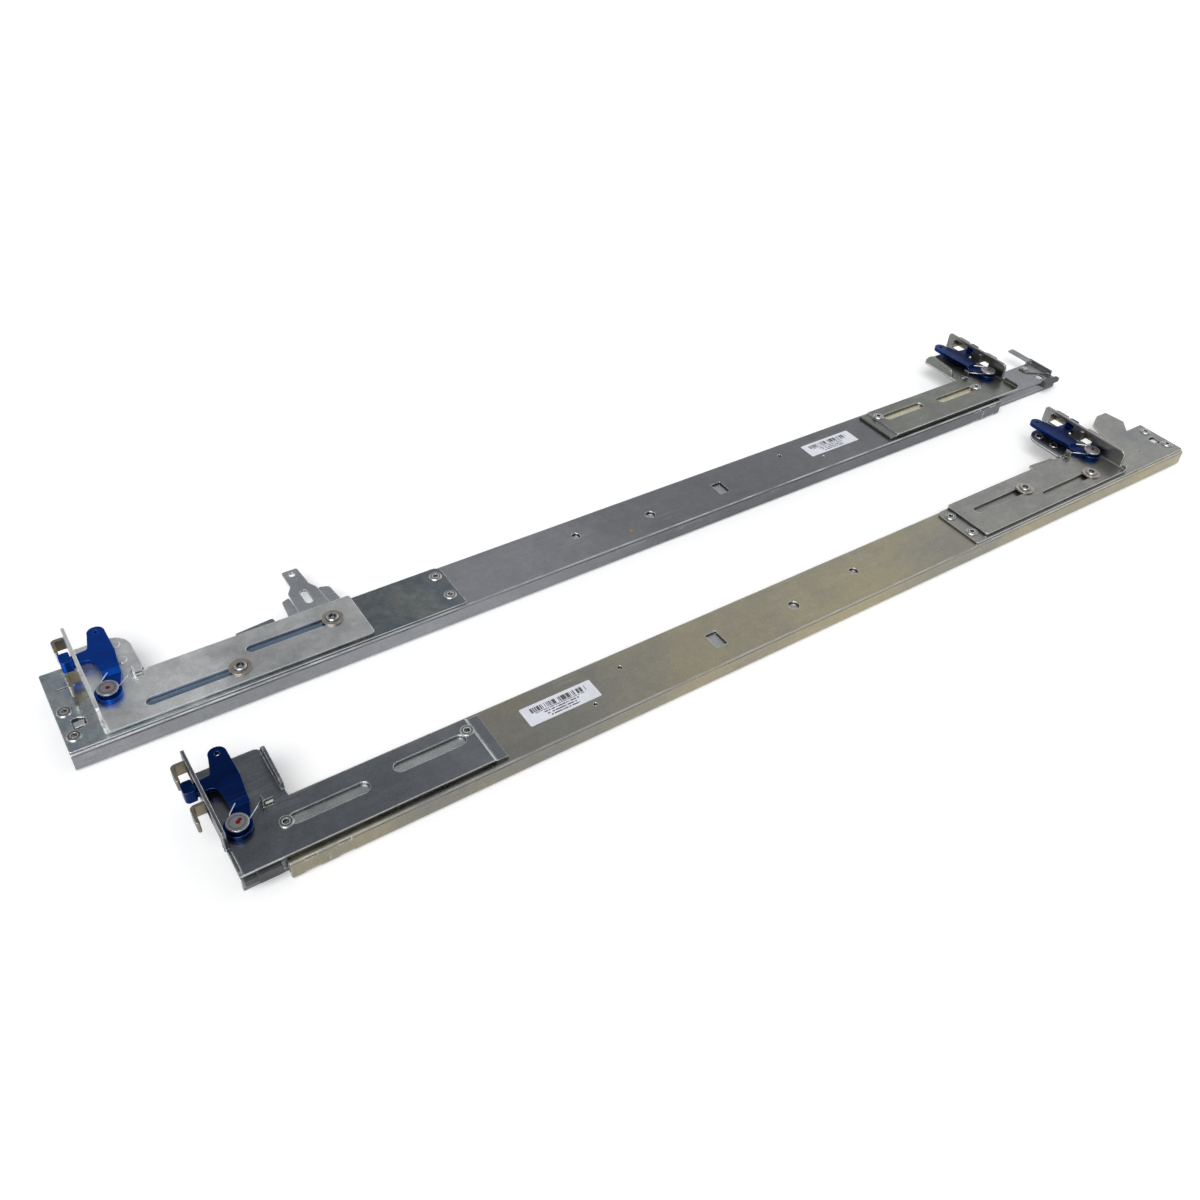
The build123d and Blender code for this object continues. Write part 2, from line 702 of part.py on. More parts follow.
def rail(hand):
    # every piece of one rail, by name, in the rail's own frame
    slid = inner_out[hand]
    rivet_depth = plate_gauge + member_gauge
    pieces = {
        "outer_member": outer_member(),
        "middle_member": middle_member(),
        "inner_member": Pos(slid, 0, 0) * inner_member(),
        "outer_cages": cage(outer_ball_y, outer_ball_z),
        "outer_balls": balls(outer_ball_y, outer_ball_z),
        "inner_cages": Pos(slid / 2, 0, 0) * cage(inner_ball_y, inner_ball_z),
        "inner_balls": Pos(slid / 2, 0, 0) * balls(inner_ball_y, inner_ball_z),
        "guide_plate": guide_plate(hand),
        "guide_rivets": eyelets(end_rivet_places + guide_rivet_places, rack_face + plate_gauge, rivet_depth),
        "end_tongue": end_tongue(),
        "slot_studs": studs(),
        "slot_washers": washers(),
        "rear_bracket": rear_place(hand, rear_bracket()),
        "rear_latch": rear_place(hand, latch()),
        "rear_latch_pivot": rear_place(hand, latch_pivot()),
        "rear_latch_spring": rear_place(hand, latch_spring()),
        "backing_plate": backing_plate(),
        "front_bracket": front_place(front_bracket()),
        "front_rivets": eyelets(front_rivet_places, front_bracket_z + bracket_gauge, rivet_depth + bracket_gauge),
        "front_latch": front_place(latch()),
        "front_latch_pivot": front_place(latch_pivot()),
        "front_latch_spring": front_place(latch_spring()),
        "release_lever": Pos(slid, 0, 0) * release_lever(),
        "lever_rivet": Pos(slid, 0, 0) * lever_rivet(),
        "nose_bumper": Pos(slid, 0, 0) * nose_bumper(),
        "label": label(),
    }
    if hand == "left":
        pieces["cable_bracket"] = cable_bracket()
    return pieces


def lay_down(hand, shape):
    # the right rail is the left one's mirror image, laid with its front at the other end
    if hand == "left":
        return shape
    return Pos(right_shift_x, right_shift_y, 0) * mirror(shape, Plane.YZ)


def pair():
    placed = {}
    for hand in ("left", "right"):
        for name, shape in rail(hand).items():
            placed[hand + "_" + name] = lay_down(hand, shape)
    return placed


def centred(placed):
    # the origin is on the surface, under the middle of the pair
    boxes = [shape.bounding_box() for shape in placed.values()]
    middle_x = (min(box.min.X for box in boxes) + max(box.max.X for box in boxes)) / 2
    middle_y = (min(box.min.Y for box in boxes) + max(box.max.Y for box in boxes)) / 2
    shift = Pos(-middle_x, -middle_y, 0)
    return {name: shift * shape for name, shape in placed.items()}, shift


parts, origin_shift = centred(pair())
os.makedirs("parts", exist_ok=True)
for name, shape in parts.items():
    export_step(shape, "parts/" + name + ".step")
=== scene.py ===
import json
import math
import bmesh
import bpy
from mathutils import Matrix, Vector

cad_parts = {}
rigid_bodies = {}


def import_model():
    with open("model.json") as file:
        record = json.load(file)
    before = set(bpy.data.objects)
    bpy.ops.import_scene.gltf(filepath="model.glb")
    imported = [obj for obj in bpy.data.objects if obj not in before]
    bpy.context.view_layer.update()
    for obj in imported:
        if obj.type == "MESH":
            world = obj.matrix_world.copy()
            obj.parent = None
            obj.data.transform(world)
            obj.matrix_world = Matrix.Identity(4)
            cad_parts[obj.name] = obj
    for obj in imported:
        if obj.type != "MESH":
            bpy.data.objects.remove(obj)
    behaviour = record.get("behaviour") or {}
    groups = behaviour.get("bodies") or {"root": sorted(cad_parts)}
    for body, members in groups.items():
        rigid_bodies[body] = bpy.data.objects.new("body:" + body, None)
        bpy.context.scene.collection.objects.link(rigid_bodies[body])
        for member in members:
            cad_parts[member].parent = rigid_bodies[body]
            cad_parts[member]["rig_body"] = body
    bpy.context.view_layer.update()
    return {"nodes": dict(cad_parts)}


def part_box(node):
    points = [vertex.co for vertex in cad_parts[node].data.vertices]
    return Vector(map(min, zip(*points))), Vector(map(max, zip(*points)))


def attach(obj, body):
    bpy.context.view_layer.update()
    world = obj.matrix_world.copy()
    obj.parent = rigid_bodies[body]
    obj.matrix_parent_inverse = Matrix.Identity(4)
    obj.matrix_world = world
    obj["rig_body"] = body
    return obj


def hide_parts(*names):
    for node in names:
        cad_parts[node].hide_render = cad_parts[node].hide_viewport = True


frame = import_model()
nodes = frame["nodes"]
mm = 0.001
print("frame loaded,", len(nodes), "nodes")


# camera, worked out from the photograph's own lines
cameraSetup = {
    "fromRailCorner": (-0.0005, -0.4780, 0.5020),  # metres from the left rail's rear near corner
    "yaw": 36.75,
    "pitch": 41.78,
    "roll": 4.44,
    "lens": 33.14,
    "sensor": 36.0,
    "clip": (0.01, 60),
}


def makeCamera(setup):
    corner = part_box("left_outer_member")[0]
    place = Vector((corner.x, corner.y, 0)) + Vector(setup["fromRailCorner"])
    yaw, pitch, roll = (math.radians(setup[k]) for k in ("yaw", "pitch", "roll"))
    ahead = Vector((math.sin(yaw) * math.cos(pitch), math.cos(yaw) * math.cos(pitch), -math.sin(pitch)))
    level = Vector((math.cos(yaw), -math.sin(yaw), 0))
    above = level.cross(ahead)
    right = level * math.cos(roll) + above * math.sin(roll)
    up = above * math.cos(roll) - level * math.sin(roll)
    data = bpy.data.cameras.new("photoCamera")
    data.sensor_width = setup["sensor"]
    data.lens = setup["lens"]
    data.clip_start, data.clip_end = setup["clip"]
    camera = bpy.data.objects.new("photoCamera", data)
    bpy.context.scene.collection.objects.link(camera)
    turn = Matrix((right, up, -ahead)).transposed().to_4x4()
    camera.matrix_world = Matrix.Translation(place) @ turn
    bpy.context.scene.camera = camera


# light: a pale room, darker overhead, with two wide soft suns
lightSetup = {
    "horizon": (0.96, 0.97, 0.98),
    "middle": (0.33, 0.335, 0.345),
    "overhead": (0.17, 0.175, 0.185),
    "stops": (0.12, 0.55, 1.0),
    "keyStrength": 1.9,
    "keyFrom": (-0.55, -0.45, 1.0),
    "keySpread": 48.0,
    "fillStrength": 0.34,
    "fillFrom": (0.9, 0.35, 0.8),
    "fillSpread": 70.0,
}


def makeSun(name, strength, direction, spread):
    data = bpy.data.lights.new(name, "SUN")
    data.energy = strength
    data.angle = math.radians(spread)
    lamp = bpy.data.objects.new(name, data)
    lamp.rotation_mode = "QUATERNION"
    lamp.rotation_quaternion = Vector(direction).to_track_quat("Z", "Y")
    bpy.context.scene.collection.objects.link(lamp)


def makeWorld(setup):
    world = bpy.data.worlds.new("paleRoom")
    world.use_nodes = True
    bpy.context.scene.world = world
    tree = world.node_tree
    tree.nodes.clear()
    coords = tree.nodes.new("ShaderNodeTexCoord")
    split = tree.nodes.new("ShaderNodeSeparateXYZ")
    ramp = tree.nodes.new("ShaderNodeValToRGB")
    background = tree.nodes.new("ShaderNodeBackground")
    output = tree.nodes.new("ShaderNodeOutputWorld")
    low, middle, high = setup["stops"]
    stops = ramp.color_ramp.elements
    stops[0].position = low
    stops[0].color = (*setup["horizon"], 1)
    stops[1].position = high
    stops[1].color = (*setup["overhead"], 1)
    stops.new(middle).color = (*setup["middle"], 1)
    tree.links.new(coords.outputs["Generated"], split.inputs[0])
    tree.links.new(split.outputs["Z"], ramp.inputs[0])
    tree.links.new(ramp.outputs[0], background.inputs["Color"])
    tree.links.new(background.outputs[0], output.inputs["Surface"])


def makeLight(setup):
    makeWorld(setup)
    makeSun("keySun", setup["keyStrength"], setup["keyFrom"], setup["keySpread"])
    makeSun("fillSun", setup["fillStrength"], setup["fillFrom"], setup["fillSpread"])
    bpy.context.scene.view_settings.view_transform = "Standard"


makeCamera(cameraSetup)
makeLight(lightSetup)
print("camera and light ready")


# small helpers for node trees
def addNode(tree, kind, at, values=None, **settings):
    node = tree.nodes.new(kind)
    node.location = at
    for key, value in settings.items():
        setattr(node, key, value)
    for key, value in (values or {}).items():
        node.inputs[key].default_value = value
    return node


def mathNode(tree, operation, a, b, at, clamp=False):
    node = addNode(tree, "ShaderNodeMath", at, operation=operation, use_clamp=clamp)
    for index, value in enumerate((a, b)):
        if value is None:
            continue
        if isinstance(value, (int, float)):
            node.inputs[index].default_value = value
        else:
            tree.links.new(value, node.inputs[index])
    return node.outputs[0]


def mixColour(tree, factor, first, second, at):
    node = addNode(tree, "ShaderNodeMix", at, data_type="RGBA", clamp_factor=True)
    for index, value in ((0, factor), (6, first), (7, second)):
        if isinstance(value, (int, float)):
            node.inputs[index].default_value = value
        elif isinstance(value, tuple):
            node.inputs[index].default_value = (*value, 1) if len(value) == 3 else value
        else:
            tree.links.new(value, node.inputs[index])
    return node.outputs[2]


def rangeNode(tree, value, fromLow, fromHigh, toLow, toHigh, at):
    node = addNode(tree, "ShaderNodeMapRange", at, {1: fromLow, 2: fromHigh, 3: toLow, 4: toHigh}, clamp=True)
    tree.links.new(value, node.inputs[0])
    return node.outputs[0]


def startGroup(name, inputs, outputs):
    tree = bpy.data.node_groups.new(name, "ShaderNodeTree")
    for label, kind, value in inputs:
        socket = tree.interface.new_socket(label, in_out="INPUT", socket_type=kind)
        if value is not None:
            socket.default_value = value
    for label, kind in outputs:
        tree.interface.new_socket(label, in_out="OUTPUT", socket_type=kind)
    entry = addNode(tree, "NodeGroupInput", (-1200, 0))
    leave = addNode(tree, "NodeGroupOutput", (900, 0))
    return tree, entry.outputs, leave.inputs


floatSocket = "NodeSocketFloat"
vectorSocket = "NodeSocketVector"


# streaks left by the rolling mill, drawn out along the rail
def makeRolledGrain():
    tree, given, result = startGroup(
        "rolledGrain",
        [("Vector", vectorSocket, None), ("Across", floatSocket, 1800.0), ("Along", floatSocket, 25.0)],
        [("Grain", floatSocket), ("Streak", floatSocket)])
    stretch = addNode(tree, "ShaderNodeCombineXYZ", (-950, -150))
    tree.links.new(given["Along"], stretch.inputs[0])
    tree.links.new(given["Across"], stretch.inputs[1])
    tree.links.new(given["Across"], stretch.inputs[2])
    scaled = addNode(tree, "ShaderNodeVectorMath", (-750, 0), operation="MULTIPLY")
    tree.links.new(given["Vector"], scaled.inputs[0])
    tree.links.new(stretch.outputs[0], scaled.inputs[1])
    fine = addNode(tree, "ShaderNodeTexNoise", (-500, 100),
                   {"Scale": 1.0, "Detail": 3.0, "Roughness": 0.65})
    broad = addNode(tree, "ShaderNodeTexNoise", (-500, -200),
                    {"Scale": 0.12, "Detail": 2.0, "Roughness": 0.5})
    tree.links.new(scaled.outputs[0], fine.inputs["Vector"])
    tree.links.new(scaled.outputs[0], broad.inputs["Vector"])
    tree.links.new(rangeNode(tree, fine.outputs[0], 0.3, 0.7, 0, 1, (-200, 100)), result["Grain"])
    tree.links.new(rangeNode(tree, broad.outputs[0], 0.35, 0.65, 0, 1, (-200, -200)), result["Streak"])
    return tree


# clouds, crystal patches and fine speckle of a zinc plating
def makePlatingMottle():
    tree, given, result = startGroup(
        "platingMottle",
        [("Vector", vectorSocket, None), ("Cloud Size", floatSocket, 14.0),
         ("Patch Size", floatSocket, 260.0), ("Speckle Size", floatSocket, 1500.0)],
        [("Cloud", floatSocket), ("Patch", floatSocket), ("Speckle", floatSocket)])
    cloud = addNode(tree, "ShaderNodeTexNoise", (-800, 250),
                    {"Detail": 4.0, "Roughness": 0.6, "Distortion": 0.8})
    tree.links.new(given["Vector"], cloud.inputs["Vector"])
    tree.links.new(given["Cloud Size"], cloud.inputs["Scale"])
    warp = addNode(tree, "ShaderNodeTexNoise", (-1000, -50), {"Scale": 60.0, "Detail": 2.0})
    tree.links.new(given["Vector"], warp.inputs["Vector"])
    bent = addNode(tree, "ShaderNodeMix", (-800, 0), {0: 0.006}, data_type="VECTOR")
    tree.links.new(given["Vector"], bent.inputs[4])
    tree.links.new(warp.outputs[1], bent.inputs[5])
    patch = addNode(tree, "ShaderNodeTexVoronoi", (-550, 0), {"Randomness": 1.0}, feature="SMOOTH_F1")
    tree.links.new(bent.outputs[1], patch.inputs["Vector"])
    tree.links.new(given["Patch Size"], patch.inputs["Scale"])
    patchTone = addNode(tree, "ShaderNodeSeparateColor", (-300, 0))
    tree.links.new(patch.outputs["Color"], patchTone.inputs[0])
    speckle = addNode(tree, "ShaderNodeTexNoise", (-550, -300), {"Detail": 2.0, "Roughness": 0.7})
    tree.links.new(given["Vector"], speckle.inputs["Vector"])
    tree.links.new(given["Speckle Size"], speckle.inputs["Scale"])
    tree.links.new(rangeNode(tree, cloud.outputs[0], 0.32, 0.68, 0, 1, (-300, 250)), result["Cloud"])
    tree.links.new(patchTone.outputs[0], result["Patch"])
    tree.links.new(rangeNode(tree, speckle.outputs[0], 0.35, 0.65, 0, 1, (-300, -300)), result["Speckle"])
    return tree


# rubbed edges and a painted edge highlight: where the rounded normal leaves the flat one, broken up by noise
def makeEdgeWearAndHighlight():
    tree, given, result = startGroup(
        "edgeWearAndHighlight",
        [("Vector", vectorSocket, None), ("Width", floatSocket, 0.0005), ("Breakup", floatSocket, 420.0),
         ("Amount", floatSocket, 1.0)],
        [("Wear And Highlight", floatSocket), ("Rounded", vectorSocket)])
    bevel = addNode(tree, "ShaderNodeBevel", (-900, 200), samples=4)
    tree.links.new(given["Width"], bevel.inputs["Radius"])
    flat = addNode(tree, "ShaderNodeNewGeometry", (-900, -50))
    facing = addNode(tree, "ShaderNodeVectorMath", (-700, 100), operation="DOT_PRODUCT")
    tree.links.new(bevel.outputs[0], facing.inputs[0])
    tree.links.new(flat.outputs["Normal"], facing.inputs[1])
    edge = rangeNode(tree, facing.outputs["Value"], 0.995, 0.8, 0, 1, (-500, 100))
    noise = addNode(tree, "ShaderNodeTexNoise", (-700, -250), {"Detail": 3.0, "Roughness": 0.7})
    tree.links.new(given["Vector"], noise.inputs["Vector"])
    tree.links.new(given["Breakup"], noise.inputs["Scale"])
    gaps = rangeNode(tree, noise.outputs[0], 0.28, 0.46, 0, 1, (-500, -250))
    worn = mathNode(tree, "MULTIPLY", edge, gaps, (-250, 0))
    worn = mathNode(tree, "MULTIPLY", worn, given["Amount"], (0, 0), clamp=True)
    tree.links.new(worn, result["Wear And Highlight"])
    tree.links.new(bevel.outputs[0], result["Rounded"])
    return tree


# two runs of hairline scratches: turn in radians, size, how far drawn out
scratchRuns = ((0.12, 90.0, 26.0), (-0.7, 60.0, 18.0))
scratchWidth = 0.012


# hairline scratches in two directions, and the duller smears between them
def makeHandling():
    tree, given, result = startGroup(
        "handlingMarks",
        [("Vector", vectorSocket, None), ("Scale", floatSocket, 1.0), ("Amount", floatSocket, 0.5)],
        [("Scratch", floatSocket), ("Smear", floatSocket)])
    lines = []
    for index, (turn, size, squeeze) in enumerate(scratchRuns):
        height = 200 - 350 * index
        spun = addNode(tree, "ShaderNodeMapping", (-950, height))
        spun.inputs["Rotation"].default_value = (0, 0, turn)
        spun.inputs["Scale"].default_value = (size / squeeze, size * 3, size)
        tree.links.new(given["Vector"], spun.inputs["Vector"])
        noise = addNode(tree, "ShaderNodeTexNoise", (-700, height), {"Detail": 4.0, "Roughness": 0.55})
        tree.links.new(spun.outputs[0], noise.inputs["Vector"])
        tree.links.new(given["Scale"], noise.inputs["Scale"])
        centred = mathNode(tree, "SUBTRACT", noise.outputs[0], 0.5, (-500, height))
        ridge = mathNode(tree, "ABSOLUTE", centred, None, (-350, height))
        lines.append(rangeNode(tree, ridge, 0.0, scratchWidth, 1, 0, (-150, height)))
    where = addNode(tree, "ShaderNodeTexNoise", (-700, -500), {"Scale": 38.0, "Detail": 3.0})
    tree.links.new(given["Vector"], where.inputs["Vector"])
    area = rangeNode(tree, where.outputs[0], 0.5, 0.68, 0, 1, (-450, -500))
    both = mathNode(tree, "MAXIMUM", lines[0], lines[1], (50, 50))
    kept = mathNode(tree, "MULTIPLY", both, area, (250, 50))
    kept = mathNode(tree, "MULTIPLY", kept, given["Amount"], (450, 50), clamp=True)
    smear = addNode(tree, "ShaderNodeTexNoise", (-700, -800),
                    {"Scale": 22.0, "Detail": 5.0, "Distortion": 1.6})
    tree.links.new(given["Vector"], smear.inputs["Vector"])
    tree.links.new(kept, result["Scratch"])
    tree.links.new(rangeNode(tree, smear.outputs[0], 0.35, 0.7, 0, 1, (-450, -800)), result["Smear"])
    return tree


# a round or long patch, given by its place, its radius and half the run between its round ends
def makeDab():
    tree, given, result = startGroup(
        "paintDab",
        [("Vector", vectorSocket, None), ("Centre", vectorSocket, (0, 0, 0)), ("Radius", floatSocket, 0.002),
         ("Half Run", floatSocket, 0.0), ("Raggedness", floatSocket, 0.3)],
        [("Mask", floatSocket)])
    away = addNode(tree, "ShaderNodeVectorMath", (-1100, 100), operation="SUBTRACT")
    tree.links.new(given["Vector"], away.inputs[0])
    tree.links.new(given["Centre"], away.inputs[1])
    split = addNode(tree, "ShaderNodeSeparateXYZ", (-950, 100))
    tree.links.new(away.outputs[0], split.inputs[0])
    along = mathNode(tree, "ABSOLUTE", split.outputs["X"], None, (-800, 200))
    along = mathNode(tree, "SUBTRACT", along, given["Half Run"], (-700, 200))
    along = mathNode(tree, "MAXIMUM", along, 0.0, (-650, 300))
    flat = addNode(tree, "ShaderNodeCombineXYZ", (-550, 100))
    tree.links.new(along, flat.inputs[0])
    tree.links.new(split.outputs["Y"], flat.inputs[1])
    far = addNode(tree, "ShaderNodeVectorMath", (-400, 100), operation="LENGTH")
    tree.links.new(flat.outputs[0], far.inputs[0])
    share = mathNode(tree, "DIVIDE", far.outputs["Value"], given["Radius"], (-200, 100))
    noise = addNode(tree, "ShaderNodeTexNoise", (-600, -200), {"Scale": 900.0, "Detail": 2.0})
    tree.links.new(given["Vector"], noise.inputs["Vector"])
    ragged = mathNode(tree, "SUBTRACT", noise.outputs[0], 0.5, (-400, -200))
    ragged = mathNode(tree, "MULTIPLY", ragged, given["Raggedness"], (-200, -200))
    share = mathNode(tree, "ADD", share, ragged, (0, 0))
    tree.links.new(rangeNode(tree, share, 0.85, 1.0, 1, 0, (200, 0)), result["Mask"])
    return tree


# print for a label: one row of plain bars over rows of dashes, no letters
printLayout = {
    # dashes: share of a row that they fill, noise scale, shift from row to row, noise level of a gap
    "dashFill": 0.5, "dashScale": 950.0, "rowShift": 7.31, "dashGaps": 0.40,
    # rows: least length and its spread as shares of the half length, top as a share of the half height
    "rowLeast": 0.45, "rowSpread": 0.55, "dashTop": 0.1,
    # bars: share left white, then centre, half height and reach as shares of the label's half sizes
    "barGaps": 0.34, "barCentre": 0.5, "barHalf": 0.32, "barReach": 0.86,
}


def makePrintRows(layout):
    tree, given, result = startGroup(
        "printRows",
        [("Vector", vectorSocket, None), ("Centre", vectorSocket, (0, 0, 0)),
         ("Row Pitch", floatSocket, 0.0019), ("Half Length", floatSocket, 0.0225),
         ("Half Height", floatSocket, 0.0062), ("Bar Width", floatSocket, 0.00045)],
        [("Ink", floatSocket)])
    local = addNode(tree, "ShaderNodeVectorMath", (-1000, 100), operation="SUBTRACT")
    tree.links.new(given["Vector"], local.inputs[0])
    tree.links.new(given["Centre"], local.inputs[1])
    split = addNode(tree, "ShaderNodeSeparateXYZ", (-800, 100))
    tree.links.new(local.outputs[0], split.inputs[0])
    x, y = split.outputs["X"], split.outputs["Y"]
    halfLength, halfHeight = given["Half Length"], given["Half Height"]
    awayX = mathNode(tree, "ABSOLUTE", x, None, (-600, -500))
    awayY = mathNode(tree, "ABSOLUTE", y, None, (-600, -700))

    row = mathNode(tree, "DIVIDE", y, given["Row Pitch"], (-600, 0))
    number = mathNode(tree, "FLOOR", row, None, (-400, -100))
    part = mathNode(tree, "FRACT", row, None, (-400, 50))
    inRow = mathNode(tree, "LESS_THAN", part, layout["dashFill"], (-200, 50))
    dashPlace = addNode(tree, "ShaderNodeCombineXYZ", (-200, -150))
    tree.links.new(mathNode(tree, "MULTIPLY", x, layout["dashScale"], (-400, -300)), dashPlace.inputs[0])
    tree.links.new(mathNode(tree, "MULTIPLY", number, layout["rowShift"], (-300, -400)), dashPlace.inputs[1])
    dash = addNode(tree, "ShaderNodeTexNoise", (0, -150), {"Scale": 1.0, "Detail": 1.0},
                   noise_dimensions="2D")
    tree.links.new(dashPlace.outputs[0], dash.inputs["Vector"])
    inDash = mathNode(tree, "GREATER_THAN", dash.outputs[0], layout["dashGaps"], (200, -150))
    chance = addNode(tree, "ShaderNodeTexWhiteNoise", (0, -400), noise_dimensions="1D")
    tree.links.new(number, chance.inputs["W"])
    reach = mathNode(tree, "MULTIPLY", chance.outputs["Value"], layout["rowSpread"], (150, -400))
    reach = mathNode(tree, "ADD", reach, layout["rowLeast"], (300, -400))
    reach = mathNode(tree, "MULTIPLY", reach, halfLength, (450, -400))
    inReach = mathNode(tree, "LESS_THAN", awayX, reach, (600, -400))
    inHeight = mathNode(tree, "LESS_THAN", awayY, halfHeight, (600, -600))
    top = mathNode(tree, "MULTIPLY", halfHeight, layout["dashTop"], (700, -250))
    below = mathNode(tree, "LESS_THAN", y, top, (850, -250))

    bar = mathNode(tree, "DIVIDE", x, given["Bar Width"], (100, -900))
    bar = mathNode(tree, "FLOOR", bar, None, (300, -900))
    bars = addNode(tree, "ShaderNodeTexWhiteNoise", (500, -900), noise_dimensions="1D")
    tree.links.new(bar, bars.inputs["W"])
    inBar = mathNode(tree, "GREATER_THAN", bars.outputs["Value"], layout["barGaps"], (700, -900))
    centre = mathNode(tree, "MULTIPLY", halfHeight, layout["barCentre"], (300, -1050))
    upper = mathNode(tree, "SUBTRACT", y, centre, (500, -1050))
    upper = mathNode(tree, "ABSOLUTE", upper, None, (650, -1050))
    half = mathNode(tree, "MULTIPLY", halfHeight, layout["barHalf"], (500, -1200))
    inBand = mathNode(tree, "LESS_THAN", upper, half, (800, -1050))
    span = mathNode(tree, "MULTIPLY", halfLength, layout["barReach"], (500, -1400))
    inSpan = mathNode(tree, "LESS_THAN", awayX, span, (800, -1300))

    rows, banded = inRow, inBar
    for index, mask in enumerate((inDash, inReach, inHeight, below)):
        rows = mathNode(tree, "MULTIPLY", rows, mask, (900 + 150 * index, -100))
    for index, mask in enumerate((inSpan, inBand)):
        banded = mathNode(tree, "MULTIPLY", banded, mask, (900 + 150 * index, -900))
    tree.links.new(mathNode(tree, "MAXIMUM", rows, banded, (1600, -200)), result["Ink"])
    return tree


# painted light and shade: a slow change of tone from one end of a piece to the other
def makePaintedLightAlong():
    tree, given, result = startGroup(
        "paintedLightAlong",
        [("Vector", vectorSocket, None), ("Low X", floatSocket, 0.0), ("High X", floatSocket, 1.0),
         ("Low Tone", floatSocket, 1.0), ("High Tone", floatSocket, 1.0), ("Waviness", floatSocket, 0.02)],
        [("Tone", floatSocket)])
    split = addNode(tree, "ShaderNodeSeparateXYZ", (-900, 100))
    tree.links.new(given["Vector"], split.inputs[0])
    noise = addNode(tree, "ShaderNodeTexNoise", (-900, -200), {"Scale": 16.0, "Detail": 2.0})
    tree.links.new(given["Vector"], noise.inputs["Vector"])
    shift = mathNode(tree, "SUBTRACT", noise.outputs[0], 0.5, (-700, -200))
    shift = mathNode(tree, "MULTIPLY", shift, given["Waviness"], (-500, -200))
    place = mathNode(tree, "ADD", split.outputs["X"], shift, (-300, 0))
    ease = addNode(tree, "ShaderNodeMapRange", (0, 0), interpolation_type="SMOOTHSTEP")
    tree.links.new(place, ease.inputs[0])
    for index, label in enumerate(("Low X", "High X", "Low Tone", "High Tone")):
        tree.links.new(given[label], ease.inputs[1 + index])
    tree.links.new(ease.outputs[0], result["Tone"])
    return tree


# painted shadow under a sheet and a painted highlight line along its upper edge, by height
def makeEdgeBands():
    tree, given, result = startGroup(
        "edgeBands",
        [("Vector", vectorSocket, None), ("Seam Low", floatSocket, 0.0), ("Seam High", floatSocket, 0.0),
         ("Line Low", floatSocket, 0.0), ("Line High", floatSocket, 0.0), ("Breakup", floatSocket, 55.0)],
        [("Seam", floatSocket), ("Line", floatSocket)])
    split = addNode(tree, "ShaderNodeSeparateXYZ", (-900, 100))
    tree.links.new(given["Vector"], split.inputs[0])
    noise = addNode(tree, "ShaderNodeTexNoise", (-900, -300), {"Detail": 3.0})
    tree.links.new(given["Vector"], noise.inputs["Vector"])
    tree.links.new(given["Breakup"], noise.inputs["Scale"])
    strength = rangeNode(tree, noise.outputs[0], 0.3, 0.6, 0.35, 1, (-600, -300))
    z = split.outputs["Z"]
    for index, label in enumerate(("Seam", "Line")):
        height = 200 - 200 * index
        over = mathNode(tree, "GREATER_THAN", z, given[label + " Low"], (-600, height))
        under = mathNode(tree, "LESS_THAN", z, given[label + " High"], (-400, height))
        band = mathNode(tree, "MULTIPLY", over, under, (-200, height))
        band = mathNode(tree, "MULTIPLY", band, strength, (0, height))
        tree.links.new(band, result[label])
    return tree


rolledGrain = makeRolledGrain()
platingMottle = makePlatingMottle()
edgeWearAndHighlight = makeEdgeWearAndHighlight()
handlingMarks = makeHandling()
paintDab = makeDab()
printRows = makePrintRows(printLayout)
paintedLightAlong = makePaintedLightAlong()
edgeBands = makeEdgeBands()
print("finish groups built")


def useGroup(tree, group, at, coords, values):
    node = addNode(tree, "ShaderNodeGroup", at, values, node_tree=group)
    tree.links.new(coords, node.inputs["Vector"])
    return node.outputs


def startMaterial(name):
    material = bpy.data.materials.new(name)
    material.use_nodes = True
    tree = material.node_tree
    tree.nodes.clear()
    output = addNode(tree, "ShaderNodeOutputMaterial", (1500, 0))
    shader = addNode(tree, "ShaderNodeBsdfPrincipled", (1200, 0))
    tree.links.new(shader.outputs[0], output.inputs["Surface"])
    coords = addNode(tree, "ShaderNodeTexCoord", (-1500, 0)).outputs["Object"]
    return material, tree, shader, coords


# how high the painted shadow and the painted highlight line lie, as shares of the sheet between two heights
# in millimetres
seamShare = (-0.02, 0.36)
paintedHighlightShare = (0.6, 0.985)


def bandHeights(heights):
    low, high = heights
    values = {}
    for label, share in (("Seam", seamShare), ("Line", paintedHighlightShare)):
        values[label + " Low"] = (low + share[0] * (high - low)) * mm
        values[label + " High"] = (low + share[1] * (high - low)) * mm
    return values


# what all metals share: how far specks dull it, rubbing polishes it, scratches cut it, and its relief
speckleRough = 0.6
wearPolish = 0.12
scratchDepth = 0.5
metalRelief = 0.00012


